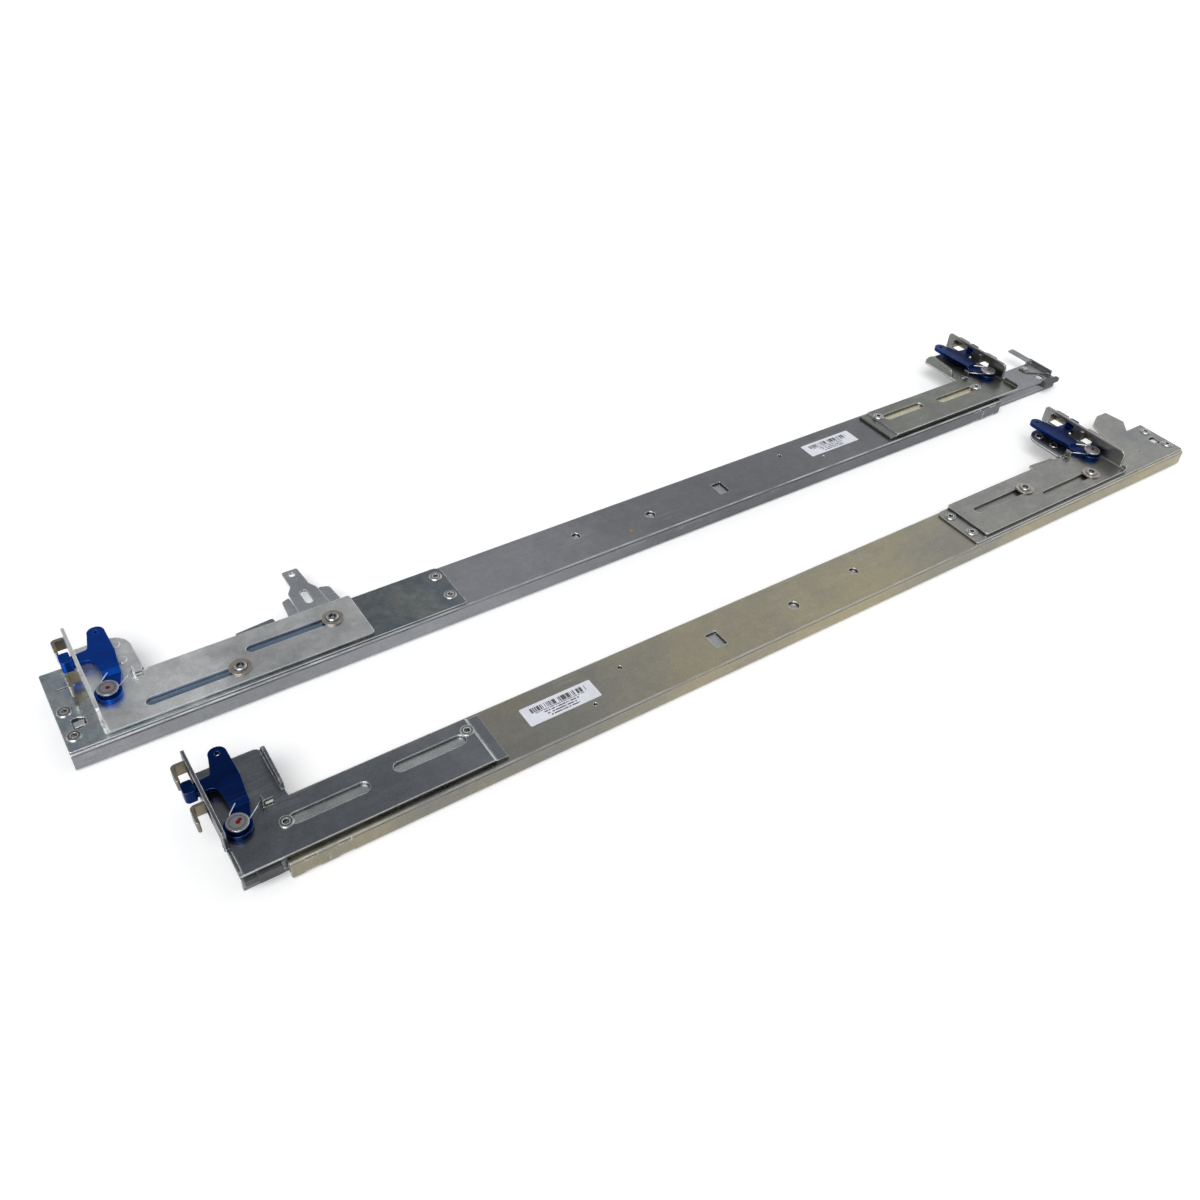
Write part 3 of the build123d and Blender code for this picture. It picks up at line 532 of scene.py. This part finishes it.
# one builder for every plated or bare metal, with the finish's own values
def metalFinish(name, look, dabs=()):
    material, tree, shader, coords = startMaterial(name)
    mottle = useGroup(tree, platingMottle, (-1200, 400), coords, {
        "Cloud Size": look["cloudSize"], "Patch Size": look["patchSize"], "Speckle Size": look["speckSize"]})
    grain = useGroup(tree, rolledGrain, (-1200, 0), coords, {
        "Across": look["grainAcross"], "Along": look["grainAlong"]})
    wear = useGroup(tree, edgeWearAndHighlight, (-1200, -300), coords, {
        "Width": look["edgeWidth"], "Amount": look["wear"]})
    marks = useGroup(tree, handlingMarks, (-1200, -600), coords, {"Amount": look["scratch"]})

    tone = None
    swings = ((mottle["Patch"], look["patch"]), (grain["Streak"], look["streak"]),
              (grain["Grain"], look["grain"]), (mottle["Speckle"], look["speck"]))
    for index, (mask, swing) in enumerate(swings):
        step = rangeNode(tree, mask, 0, 1, 1 - swing, 1 + swing, (-800, 200 - 150 * index))
        tone = step if tone is None else mathNode(tree, "MULTIPLY", tone, step, (-600, 200 - 150 * index))
    # painted light and shade, lighter at one end of the piece and darker at the other
    if look["fade"]:
        lowX, highX, lowTone, highTone = look["fade"]
        fade = useGroup(tree, paintedLightAlong, (-550, -350), coords, {
            "Low X": lowX, "High X": highX, "Low Tone": lowTone, "High Tone": highTone})["Tone"]
        tone = mathNode(tree, "MULTIPLY", tone, fade, (-250, -100))
    base = mixColour(tree, mottle["Cloud"], look["dark"], look["light"], (-800, 400))
    shade = addNode(tree, "ShaderNodeVectorMath", (-150, 250), operation="SCALE")
    tree.links.new(base, shade.inputs[0])
    tree.links.new(tone, shade.inputs["Scale"])
    colour = mixColour(tree, marks["Scratch"], shade.outputs[0], look["bright"], (150, 250))
    # painted shadow along the foot of each sheet's side, and a painted highlight line along its upper edge
    if look["bands"]:
        bands = useGroup(tree, edgeBands, (-550, -550), coords, bandHeights(look["bands"]))
        seam = mathNode(tree, "MULTIPLY", bands["Seam"], look["seam"], (-300, -550))
        line = mathNode(tree, "MULTIPLY", bands["Line"], look["line"], (-300, -650))
        colour = mixColour(tree, seam, colour, look["contactShadowColour"], (200, 400))
        colour = mixColour(tree, line, colour, look["bright"], (280, 400))
    # edges painted bright: partly rubbed wear, partly a painted highlight along every edge
    colour = mixColour(tree, wear["Wear And Highlight"], colour, look["bright"], (350, 250))
    for index, patch in enumerate(dabs):
        mask = useGroup(tree, paintDab, (300, -700 - 250 * index), coords, {
            "Centre": patch["centre"], "Radius": patch["radius"], "Half Run": patch["halfRun"],
            "Raggedness": patch["ragged"]})["Mask"]
        colour = mixColour(tree, mask, colour, patch["paint"], (600 + 150 * index, 250))

    middle, spread = look["rough"], look["roughSpread"]
    rough = rangeNode(tree, marks["Smear"], 0, 1, middle - spread, middle + spread, (-350, -350))
    specks = mathNode(tree, "MULTIPLY", mottle["Speckle"], spread * speckleRough, (-350, -500))
    rough = mathNode(tree, "ADD", rough, specks, (-100, -350))
    polish = mathNode(tree, "MULTIPLY", wear["Wear And Highlight"], wearPolish, (-100, -500))
    rough = mathNode(tree, "SUBTRACT", rough, polish, (100, -350), clamp=True)
    height = mathNode(tree, "MULTIPLY", grain["Grain"], look["grainHeight"], (-550, -700))
    bumps = mathNode(tree, "MULTIPLY", mottle["Speckle"], look["speckleHeight"], (-550, -850))
    height = mathNode(tree, "ADD", height, bumps, (-350, -750))
    cuts = mathNode(tree, "MULTIPLY", marks["Scratch"], scratchDepth, (-350, -900))
    height = mathNode(tree, "SUBTRACT", height, cuts, (-150, -750))
    bump = addNode(tree, "ShaderNodeBump", (600, -400), {"Strength": look["bump"], "Distance": metalRelief})
    tree.links.new(height, bump.inputs["Height"])
    tree.links.new(wear["Rounded"], bump.inputs["Normal"])
    tree.links.new(colour, shader.inputs["Base Color"])
    tree.links.new(rough, shader.inputs["Roughness"])
    tree.links.new(bump.outputs[0], shader.inputs["Normal"])
    shader.inputs["Metallic"].default_value = look["metallic"]
    return material


# plain zinc-plated sheet, which the other sheet finishes start from
zincSheet = {
    "dark": (0.36, 0.37, 0.38), "light": (0.47, 0.48, 0.49), "bright": (0.98, 0.98, 0.98),
    "cloudSize": 11.0, "patchSize": 240.0, "speckSize": 800.0, "grainAcross": 1800.0, "grainAlong": 25.0,
    "patch": 0.05, "streak": 0.015, "grain": 0.015, "speck": 0.07,
    "edgeWidth": 0.0008, "wear": 1.0, "scratch": 0.14, "rough": 0.31, "roughSpread": 0.07,
    "grainHeight": 0.2, "speckleHeight": 0.3, "bump": 0.16, "metallic": 1.0,
    # the last values set painted light along a piece, the painted shadow under a sheet's side, the painted
    # highlight along its upper edge, and that shadow's colour
    "fade": None, "bands": None, "seam": 0.8, "line": 0.75, "contactShadowColour": (0.06, 0.06, 0.06),
}


def likeZinc(**changes):
    return {**zincSheet, **changes}


def fadeAlong(name, lowTone, highTone, start, end):
    # start and end are shares of the piece's length, counted from its low X end
    low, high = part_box(name)
    span = high.x - low.x
    return (low.x + start * span, low.x + end * span, lowTone, highTone)


# heights of the sheets' edges in millimetres, where the painted shadow and highlight bands lie; the front
# bracket's starts low, clear of its joggled foot
channelBands = (11.3, 12.95)
plateBands = (13.0, 14.5)
rearBracketBands = (14.6, 16.6)
frontBracketBands = (14.0, 16.5)
leftChannelLook = likeZinc(dark=(0.29, 0.295, 0.31), light=(0.36, 0.37, 0.395),
                           bands=channelBands, line=0.85, seam=0.95,
                           fade=fadeAlong("left_outer_member", 1.04, 0.60, 0.28, 0.6))
rightChannelLook = likeZinc(dark=(0.32, 0.315, 0.285), light=(0.49, 0.435, 0.285), cloudSize=7.0, patch=0.04,
                            bands=channelBands, line=0.6, seam=0.75,
                            fade=fadeAlong("right_outer_member", 0.90, 1.0, 0.15, 0.3))
slideLook = likeZinc(dark=(0.24, 0.25, 0.265), light=(0.32, 0.33, 0.35), rough=0.30)
leftPlateLook = likeZinc(dark=(0.32, 0.40, 0.46), light=(0.56, 0.59, 0.57), cloudSize=60.0, patch=0.12,
                         rough=0.27, bands=plateBands,
                         fade=fadeAlong("left_guide_plate", 1.12, 0.46, 0.2, 0.72))
rightPlateLook = likeZinc(dark=(0.28, 0.285, 0.29), light=(0.38, 0.37, 0.33), cloudSize=18.0,
                          bands=plateBands)
leftRearLook = likeZinc(dark=(0.54, 0.55, 0.55), light=(0.72, 0.73, 0.72), cloudSize=30.0, patch=0.09,
                        rough=0.40, bands=rearBracketBands,
                        fade=fadeAlong("left_rear_bracket", 1.40, 0.96, 0.28, 0.66))
rightRearLook = likeZinc(dark=(0.285, 0.285, 0.275), light=(0.37, 0.37, 0.345), cloudSize=26.0, patch=0.08,
                         bands=rearBracketBands)
leftFrontLook = likeZinc(dark=(0.195, 0.20, 0.185), light=(0.27, 0.275, 0.25), cloudSize=20.0,
                         bands=frontBracketBands)
rightFrontLook = likeZinc(dark=(0.17, 0.185, 0.205), light=(0.25, 0.265, 0.285), cloudSize=20.0,
                          bands=frontBracketBands)
backingLook = likeZinc(dark=(0.56, 0.52, 0.36), light=(0.68, 0.64, 0.48), cloudSize=40.0)
slateBackingLook = likeZinc(dark=(0.44, 0.455, 0.47), light=(0.60, 0.61, 0.59), cloudSize=40.0,
                            bands=plateBands)
armTabLook = likeZinc(dark=(0.46, 0.48, 0.50), light=(0.64, 0.66, 0.69), rough=0.30)
rivetLook = likeZinc(dark=(0.40, 0.41, 0.42), light=(0.60, 0.61, 0.62), edgeWidth=0.0004, cloudSize=90.0,
                     grain=0.02, streak=0.02, rough=0.26)
washerLook = likeZinc(dark=(0.36, 0.32, 0.27), light=(0.54, 0.49, 0.42), cloudSize=160.0, rough=0.30,
                      edgeWidth=0.0003)
leverLook = likeZinc(dark=(0.24, 0.245, 0.25), light=(0.36, 0.365, 0.37), cloudSize=60.0, rough=0.30)
tongueLook = likeZinc(dark=(0.82, 0.83, 0.84), light=(0.93, 0.94, 0.95), cloudSize=60.0, rough=0.27)
wireLook = likeZinc(dark=(0.62, 0.62, 0.62), light=(0.80, 0.80, 0.80), edgeWidth=0.0001, cloudSize=200.0,
                    grain=0.02, streak=0.0, rough=0.22, bump=0.1)
ballLook = likeZinc(dark=(0.74, 0.75, 0.77), light=(0.84, 0.85, 0.87), edgeWidth=0.0001, cloudSize=120.0,
                    patch=0.01, grain=0.0, streak=0.0, rough=0.10, roughSpread=0.03, bump=0.05, scratch=0.1)
cageLook = likeZinc(dark=(0.44, 0.42, 0.36), light=(0.58, 0.55, 0.47), cloudSize=60.0, edgeWidth=0.0002)
# one blue latch finish in a lit copy and a darker copy that is painted shade
litBlueLook = likeZinc(dark=(0.003, 0.055, 0.38), light=(0.006, 0.085, 0.52), bright=(0.20, 0.40, 0.80),
                          cloudSize=45.0, patch=0.03, streak=0.01, speck=0.03, rough=0.30, roughSpread=0.05,
                          wear=0.45, scratch=0.08, edgeWidth=0.0005)
shadedBlueLook = {**litBlueLook, "dark": (0.003, 0.018, 0.105), "light": (0.006, 0.032, 0.17)}


# moulded plastic
bumperLook = {
    "dark": (0.055, 0.056, 0.060), "light": (0.085, 0.086, 0.090), "bright": (0.20, 0.20, 0.20),
    "cloudSize": 60.0, "speckSize": 2600.0, "edgeWidth": 0.0006, "wear": 0.7, "scratch": 0.3,
    "rough": (0.42, 0.58), "bump": 0.25, "relief": 0.0001,
}


def plasticFinish(name, look):
    material, tree, shader, coords = startMaterial(name)
    mottle = useGroup(tree, platingMottle, (-1200, 300), coords, {
        "Cloud Size": look["cloudSize"], "Speckle Size": look["speckSize"]})
    wear = useGroup(tree, edgeWearAndHighlight, (-1200, -100), coords, {
        "Width": look["edgeWidth"], "Amount": look["wear"]})
    marks = useGroup(tree, handlingMarks, (-1200, -400), coords, {"Amount": look["scratch"]})
    colour = mixColour(tree, mottle["Cloud"], look["dark"], look["light"], (-700, 300))
    # edges painted lighter: partly rubbed wear, partly a painted highlight
    colour = mixColour(tree, wear["Wear And Highlight"], colour, look["bright"], (-400, 300))
    colour = mixColour(tree, marks["Scratch"], colour, look["bright"], (-100, 300))
    rough = rangeNode(tree, marks["Smear"], 0, 1, *look["rough"], (-400, 0))
    bump = addNode(tree, "ShaderNodeBump", (600, -400),
                   {"Strength": look["bump"], "Distance": look["relief"]})
    tree.links.new(mottle["Speckle"], bump.inputs["Height"])
    tree.links.new(wear["Rounded"], bump.inputs["Normal"])
    tree.links.new(colour, shader.inputs["Base Color"])
    tree.links.new(rough, shader.inputs["Roughness"])
    tree.links.new(bump.outputs[0], shader.inputs["Normal"])
    return material


# the paper label
labelLook = {
    "paper": (0.80, 0.81, 0.87), "shade": (0.72, 0.73, 0.79), "ink": (0.04, 0.04, 0.05),
    "cloudSize": 90.0, "speckSize": 4000.0, "inkLeast": 0.85,
    "rough": (0.37, 0.48), "bump": 0.15, "relief": 0.00005,
}


def labelFinish(name, look, centre):
    material, tree, shader, coords = startMaterial(name)
    mottle = useGroup(tree, platingMottle, (-1200, 300), coords, {
        "Cloud Size": look["cloudSize"], "Speckle Size": look["speckSize"]})
    ink = useGroup(tree, printRows, (-1200, 0), coords, {"Centre": centre})["Ink"]
    paper = mixColour(tree, mottle["Cloud"], look["shade"], look["paper"], (-800, 300))
    patchy = rangeNode(tree, mottle["Speckle"], 0, 1, look["inkLeast"], 1.0, (-800, 0))
    faded = mathNode(tree, "MULTIPLY", ink, patchy, (-600, 0))
    colour = mixColour(tree, faded, paper, look["ink"], (-400, 200))
    rough = rangeNode(tree, mottle["Cloud"], 0, 1, *look["rough"], (-400, -100))
    bump = addNode(tree, "ShaderNodeBump", (600, -400),
                   {"Strength": look["bump"], "Distance": look["relief"]})
    tree.links.new(mottle["Speckle"], bump.inputs["Height"])
    tree.links.new(colour, shader.inputs["Base Color"])
    tree.links.new(rough, shader.inputs["Roughness"])
    tree.links.new(bump.outputs[0], shader.inputs["Normal"])
    return material


def middleOf(name):
    low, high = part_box(name)
    return (low + high) / 2


redPaint = (0.42, 0.035, 0.03)
yellowPaint = (0.55, 0.36, 0.03)
# dark ring colour: painted shade in rivet and stud grooves and behind the end window, also the dark rings on
# pivots and washers
darkRing = (0.10, 0.095, 0.09)
# painted highlight on the lips of rivets and studs
paintedLipHighlight = (0.80, 0.80, 0.79)
pivotFace = (0.50, 0.50, 0.54)
bluePlating = (0.24, 0.32, 0.45)
tarnish = (0.34, 0.29, 0.22)

# places on a rail, in metres from its rear end and its lower side, as the part has them
fittings = {
    "studs": ((0.103, 0.0155), (0.1675, 0.028)),
    "guideRivets": ((0.0056, 0.0335), (0.0056, 0.0125), (0.2432, 0.034), (0.2432, 0.013)),
    "frontRivets": ((0.765, 0.0238), (0.653, 0.0309)),
    "window": (0.0107, 0.0215),
    "yellowSpot": (0.388, 0.011),
    # the slots of the rear and front brackets also give half the run between their round ends
    "rearSlots": ((0.077, 0.0155, 0.027), (0.1415, 0.028, 0.027)),
    "frontSlots": ((0.740, 0.024, 0.019), (0.6785, 0.027, 0.0185)),
}

# radii of the dabs, in metres
dabRadius = {
    "pivotGroove": 0.0048, "pivotFace": 0.0044, "redMark": 0.0014, "redSmear": 0.0012,
    "rivetGroove": 0.0034, "rivetLip": 0.0027, "studGroove": 0.0026, "studLip": 0.0013,
    "washerFace": 0.0047, "window": 0.0068, "hook": 0.0042, "slot": 0.0048, "yellowSpot": 0.0013,
}
redMarkShift = Vector((0.0003, -0.0002, 0))
redSmearShift = Vector((0.0018, 0.0009, 0))

# dabs on the hooks: in from the bracket's end, and below the two tops over the rail's side, in millimetres
hookPlaces = {"inset": 4.0, "tops": (83.0, 51.25), "below": (10.5, 6.5, 2.5)}


def dab(centre, radius, paint, halfRun=0.0, ragged=0.3):
    return {"centre": tuple(centre), "radius": dabRadius[radius], "paint": paint,
            "halfRun": halfRun, "ragged": ragged}


def onRail(hand, along, across):
    low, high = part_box(hand + "_outer_member")
    x = low.x + along if hand == "left" else high.x - along
    return Vector((x, low.y + across, 0))


def pivotDabs(name, smeared):
    # a dark ring near the rim of the disc, and a red mark in its middle
    centre = middleOf(name)
    marks = [dab(centre, "pivotGroove", darkRing, ragged=0.0),
             dab(centre, "pivotFace", pivotFace, ragged=0.0),
             dab(centre + redMarkShift, "redMark", redPaint)]
    if smeared:
        marks.append(dab(centre + redSmearShift, "redSmear", redPaint))
    return marks


def headRings(hand, places, groove, lip):
    # a dark groove of painted shade inside the bright rim, then a painted highlight on the lip round the bore
    marks = []
    for along, across in places:
        centre = onRail(hand, along, across)
        marks += [dab(centre, groove, darkRing, ragged=0.0), dab(centre, lip, paintedLipHighlight, ragged=0.0)]
    return marks


def washerRings(hand):
    return [dab(onRail(hand, *place), "washerFace", darkRing, ragged=0.1) for place in fittings["studs"]]


def windowShade(hand):
    # painted shade on the web behind the end window
    return dab(onRail(hand, *fittings["window"]), "window", darkRing, ragged=0.1)


def pointsBack(hand, end):
    return (hand, end) in (("left", "rear"), ("right", "front"))


def hookTarnish(hand, end):
    # brown plating on the two hooks, laid in three overlapping dabs each
    low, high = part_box(f"{hand}_{end}_bracket")
    inset = hookPlaces["inset"] * mm
    x = low.x + inset if pointsBack(hand, end) else high.x - inset
    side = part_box(hand + "_outer_member")[0].y
    return [dab((x, side + (top - step) * mm, 0), "hook", tarnish, ragged=0.15)
            for top in hookPlaces["tops"] for step in hookPlaces["below"]]


def slotFloors(hand):
    # the plating that shows through the rear bracket's slots
    return [dab(onRail(hand, along, across), "slot", bluePlating, halfRun, 0.15)
            for along, across, halfRun in fittings["rearSlots"]]


yellowSpot = dab(onRail("left", *fittings["yellowSpot"]), "yellowSpot", yellowPaint)

finishes = {
    "left_outer_member": metalFinish("leftChannelSteel", leftChannelLook,
                                     [yellowSpot, windowShade("left")]),
    "right_outer_member": metalFinish("rightChannelSteel", rightChannelLook, [windowShade("right")]),
    "middle_member": metalFinish("middleChannelSteel", likeZinc(cloudSize=9.0)),
    "inner_member": metalFinish("chassisChannelSteel", slideLook),
    "left_guide_plate": metalFinish("leftGuideSteel", leftPlateLook, slotFloors("left")),
    "right_guide_plate": metalFinish("rightGuideSteel", rightPlateLook),
    "left_rear_bracket": metalFinish("leftRearBracketZinc", leftRearLook, hookTarnish("left", "rear")),
    "right_rear_bracket": metalFinish("rightRearBracketZinc", rightRearLook, hookTarnish("right", "rear")),
    "left_front_bracket": metalFinish("leftFrontBracketZinc", leftFrontLook, hookTarnish("left", "front")),
    "right_front_bracket": metalFinish("rightFrontBracketZinc", rightFrontLook,
                                      hookTarnish("right", "front")),
    "left_backing_plate": metalFinish("leftBackingZinc", backingLook),
    "right_backing_plate": metalFinish("rightBackingZinc", slateBackingLook),
    "cable_bracket": metalFinish("cableArmZinc", armTabLook),
    "end_tongue": metalFinish("tongueSteel", tongueLook),
    "release_lever": metalFinish("releaseLeverSteel", leverLook),
    "balls": metalFinish("ballSteel", ballLook),
    "cages": metalFinish("cageSteel", cageLook),
    "nose_bumper": plasticFinish("bumperPlastic", bumperLook),
}
wireFinish = metalFinish("springWire", wireLook)
litBlue = metalFinish("blueAnodisedLit", litBlueLook)
shadedBlue = metalFinish("blueAnodisedShaded", shadedBlueLook)
finishes["lever_rivet"] = metalFinish("leverRivetSteel", rivetLook)
for hand in ("left", "right"):
    guideRings = headRings(hand, fittings["guideRivets"], "rivetGroove", "rivetLip")
    frontRings = headRings(hand, fittings["frontRivets"], "rivetGroove", "rivetLip")
    studRings = headRings(hand, fittings["studs"], "studGroove", "studLip")
    finishes[hand + "_guide_rivets"] = metalFinish(hand + "GuideRivetSteel", rivetLook, guideRings)
    finishes[hand + "_front_rivets"] = metalFinish(hand + "FrontRivetSteel", rivetLook, frontRings)
    finishes[hand + "_slot_studs"] = metalFinish(hand + "StudSteel", rivetLook, studRings)
    finishes[hand + "_slot_washers"] = metalFinish(hand + "WasherZinc", washerLook, washerRings(hand))
    finishes[hand + "_label"] = labelFinish(hand + "LabelPaper", labelLook, tuple(middleOf(hand + "_label")))
    for end in ("front", "rear"):
        pivot = f"{hand}_{end}_latch_pivot"
        finishes[pivot] = metalFinish(f"{hand}{end.title()}PivotSteel", rivetLook,
                                      pivotDabs(pivot, hand == "right"))
        # the left rear latch gets the lit copy, the others the painted-shade copy
        finishes[f"{hand}_{end}_latch"] = litBlue if (hand, end) == ("left", "rear") else shadedBlue
        finishes[f"{hand}_{end}_latch_spring"] = wireFinish


def finishFor(name):
    if name in finishes:
        return finishes[name]
    fitting = [ending for ending in finishes if name.endswith(ending)]
    return finishes[max(fitting, key=len)]


for name, node in nodes.items():
    for slot in node.material_slots:
        slot.material = finishFor(name)
print("finishes assigned")


# latch springs: a wound coil under each pivot disc, a leg to the bracket's post and a leg on the latch.
# Lengths are millimetres and angles degrees, from the pivot, the first of each place pointing inboard.
springSetup = {
    "coil": 4.3, "wire": 0.42, "turns": 2.0, "pitch": 0.86, "perTurn": 28, "start": -10,
    "post": (15.6, 8.6), "postHook": (1.5, -1.6), "legShift": (0.2, -0.3),
    "leaveAngles": (200, 170), "legBend": (-1.6, 7.4), "latchEnd": (3.4, 13.2), "latchEndHeight": 0.7,
}


def wirePiece(name, points, radius, body):
    data = bpy.data.curves.new(name, "CURVE")
    data.dimensions = "3D"
    data.bevel_depth = radius
    data.bevel_resolution = 3
    data.use_fill_caps = True
    line = data.splines.new("POLY")
    line.points.add(len(points) - 1)
    for point, place in zip(line.points, points):
        point.co = (*place, 1)
    piece = bpy.data.objects.new(name, data)
    bpy.context.scene.collection.objects.link(piece)
    data.materials.append(wireFinish)
    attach(piece, body)
    return piece


def bodyOf(node):
    return nodes[node]["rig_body"]


def makeSpring(hand, end, setup):
    stem = f"{hand}_{end}_latch"
    pivot = middleOf(stem + "_pivot")
    inboard = 1 if pointsBack(hand, end) else -1
    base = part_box(stem + "_spring")[0].z + setup["wire"] * mm
    radius, steps = setup["coil"], setup["perTurn"]

    def at(u, y, z):
        return (pivot.x + inboard * u * mm, pivot.y + y * mm, base + z * mm)

    def onCoil(angle, z, shift=(0, 0)):
        return at(radius * math.cos(angle) + shift[0], radius * math.sin(angle) + shift[1], z)

    start = math.radians(setup["start"])
    coil = []
    for i in range(int(setup["turns"] * steps) + 1):
        coil.append(onCoil(start + 2 * math.pi * i / steps, setup["pitch"] * i / steps))
    postX, postY = setup["post"]
    hookY, hookZ = setup["postHook"]
    leg = [at(postX, postY + hookY, hookZ), at(postX, postY, 0), onCoil(start, 0, setup["legShift"])]
    fixed = wirePiece(f"{hand}{end.title()}SpringCoil", leg + coil, setup["wire"] * mm,
                      bodyOf(stem + "_spring"))
    top = setup["pitch"] * setup["turns"]
    moving = [onCoil(math.radians(angle), top) for angle in setup["leaveAngles"]]
    moving += [at(*setup["legBend"], top), at(*setup["latchEnd"], top * setup["latchEndHeight"])]
    wirePiece(f"{hand}{end.title()}SpringLeg", moving, setup["wire"] * mm, bodyOf(stem))
    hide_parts(stem + "_spring")


for hand in ("left", "right"):
    for end in ("front", "rear"):
        makeSpring(hand, end, springSetup)
print("springs wound")


# the sheet of the backing plates, seen through the front slots: lengths in metres
slotSheet = {"radius": 0.00395, "gauge": 0.0014, "drop": 0.00001, "arcSteps": 16}


def capsuleOutline(centre, halfRun, radius, steps):
    points = []
    for side, start in ((1, -90), (-1, 90)):
        for i in range(steps + 1):
            angle = math.radians(start + 180 * i / steps)
            x = centre.x + side * halfRun + radius * math.cos(angle)
            points.append((x, centre.y + radius * math.sin(angle)))
    return points


def makeSlotSheet(hand, index, place, setup):
    along, across, halfRun = place
    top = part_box(hand + "_backing_plate")[1].z - setup["drop"]
    outline = capsuleOutline(onRail(hand, along, across), halfRun, setup["radius"], setup["arcSteps"])
    count = len(outline)
    corners = [(x, y, top - setup["gauge"]) for x, y in outline] + [(x, y, top) for x, y in outline]
    # the outline runs counterclockwise, so every face looks outward
    faces = [tuple(reversed(range(count))), tuple(range(count, 2 * count))]
    faces += [(i, (i + 1) % count, count + (i + 1) % count, count + i) for i in range(count)]
    name = f"{hand}SlotSheet{index + 1}"
    mesh = bpy.data.meshes.new(name)
    mesh.from_pydata(corners, [], faces)
    mesh.materials.append(finishFor(hand + "_backing_plate"))
    sheet = bpy.data.objects.new(name, mesh)
    bpy.context.scene.collection.objects.link(sheet)
    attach(sheet, bodyOf(hand + "_backing_plate"))


for hand in ("left", "right"):
    for index, place in enumerate(fittings["frontSlots"]):
        makeSlotSheet(hand, index, place, slotSheet)
print("slot sheets laid")


# floor: a wide pale sheet of card
floorSetup = {
    "size": 30.0, "drop": 0.0004, "cells": 8, "light": (0.93, 0.93, 0.93), "dark": (0.915, 0.915, 0.915),
    "cloudSize": 6.0, "rough": 0.9, "specular": 0.1, "cameraLift": 0.24,
}


def makeFloor(setup):
    mesh = bpy.data.meshes.new("floor")
    sheet = bmesh.new()
    bmesh.ops.create_grid(sheet, x_segments=setup["cells"], y_segments=setup["cells"], size=setup["size"] / 2)
    sheet.to_mesh(mesh)
    sheet.free()
    floor = bpy.data.objects.new("floor", mesh)
    floor.location.z = -setup["drop"]
    bpy.context.scene.collection.objects.link(floor)
    material, tree, shader, coords = startMaterial("floorCard")
    noise = addNode(tree, "ShaderNodeTexNoise", (-900, 0), {"Scale": setup["cloudSize"], "Detail": 4.0})
    tree.links.new(coords, noise.inputs["Vector"])
    colour = mixColour(tree, noise.outputs[0], setup["dark"], setup["light"], (-500, 0))
    tree.links.new(colour, shader.inputs["Base Color"])
    shader.inputs["Roughness"].default_value = setup["rough"]
    shader.inputs["Specular IOR Level"].default_value = setup["specular"]
    # the camera alone sees the card lifted to white, so shadows and reflections stay as they are
    seen = addNode(tree, "ShaderNodeLightPath", (200, -400)).outputs["Is Camera Ray"]
    shader.inputs["Emission Color"].default_value = (1, 1, 1, 1)
    lift = mathNode(tree, "MULTIPLY", seen, setup["cameraLift"], (600, -400))
    tree.links.new(lift, shader.inputs["Emission Strength"])
    mesh.materials.append(material)


makeFloor(floorSetup)
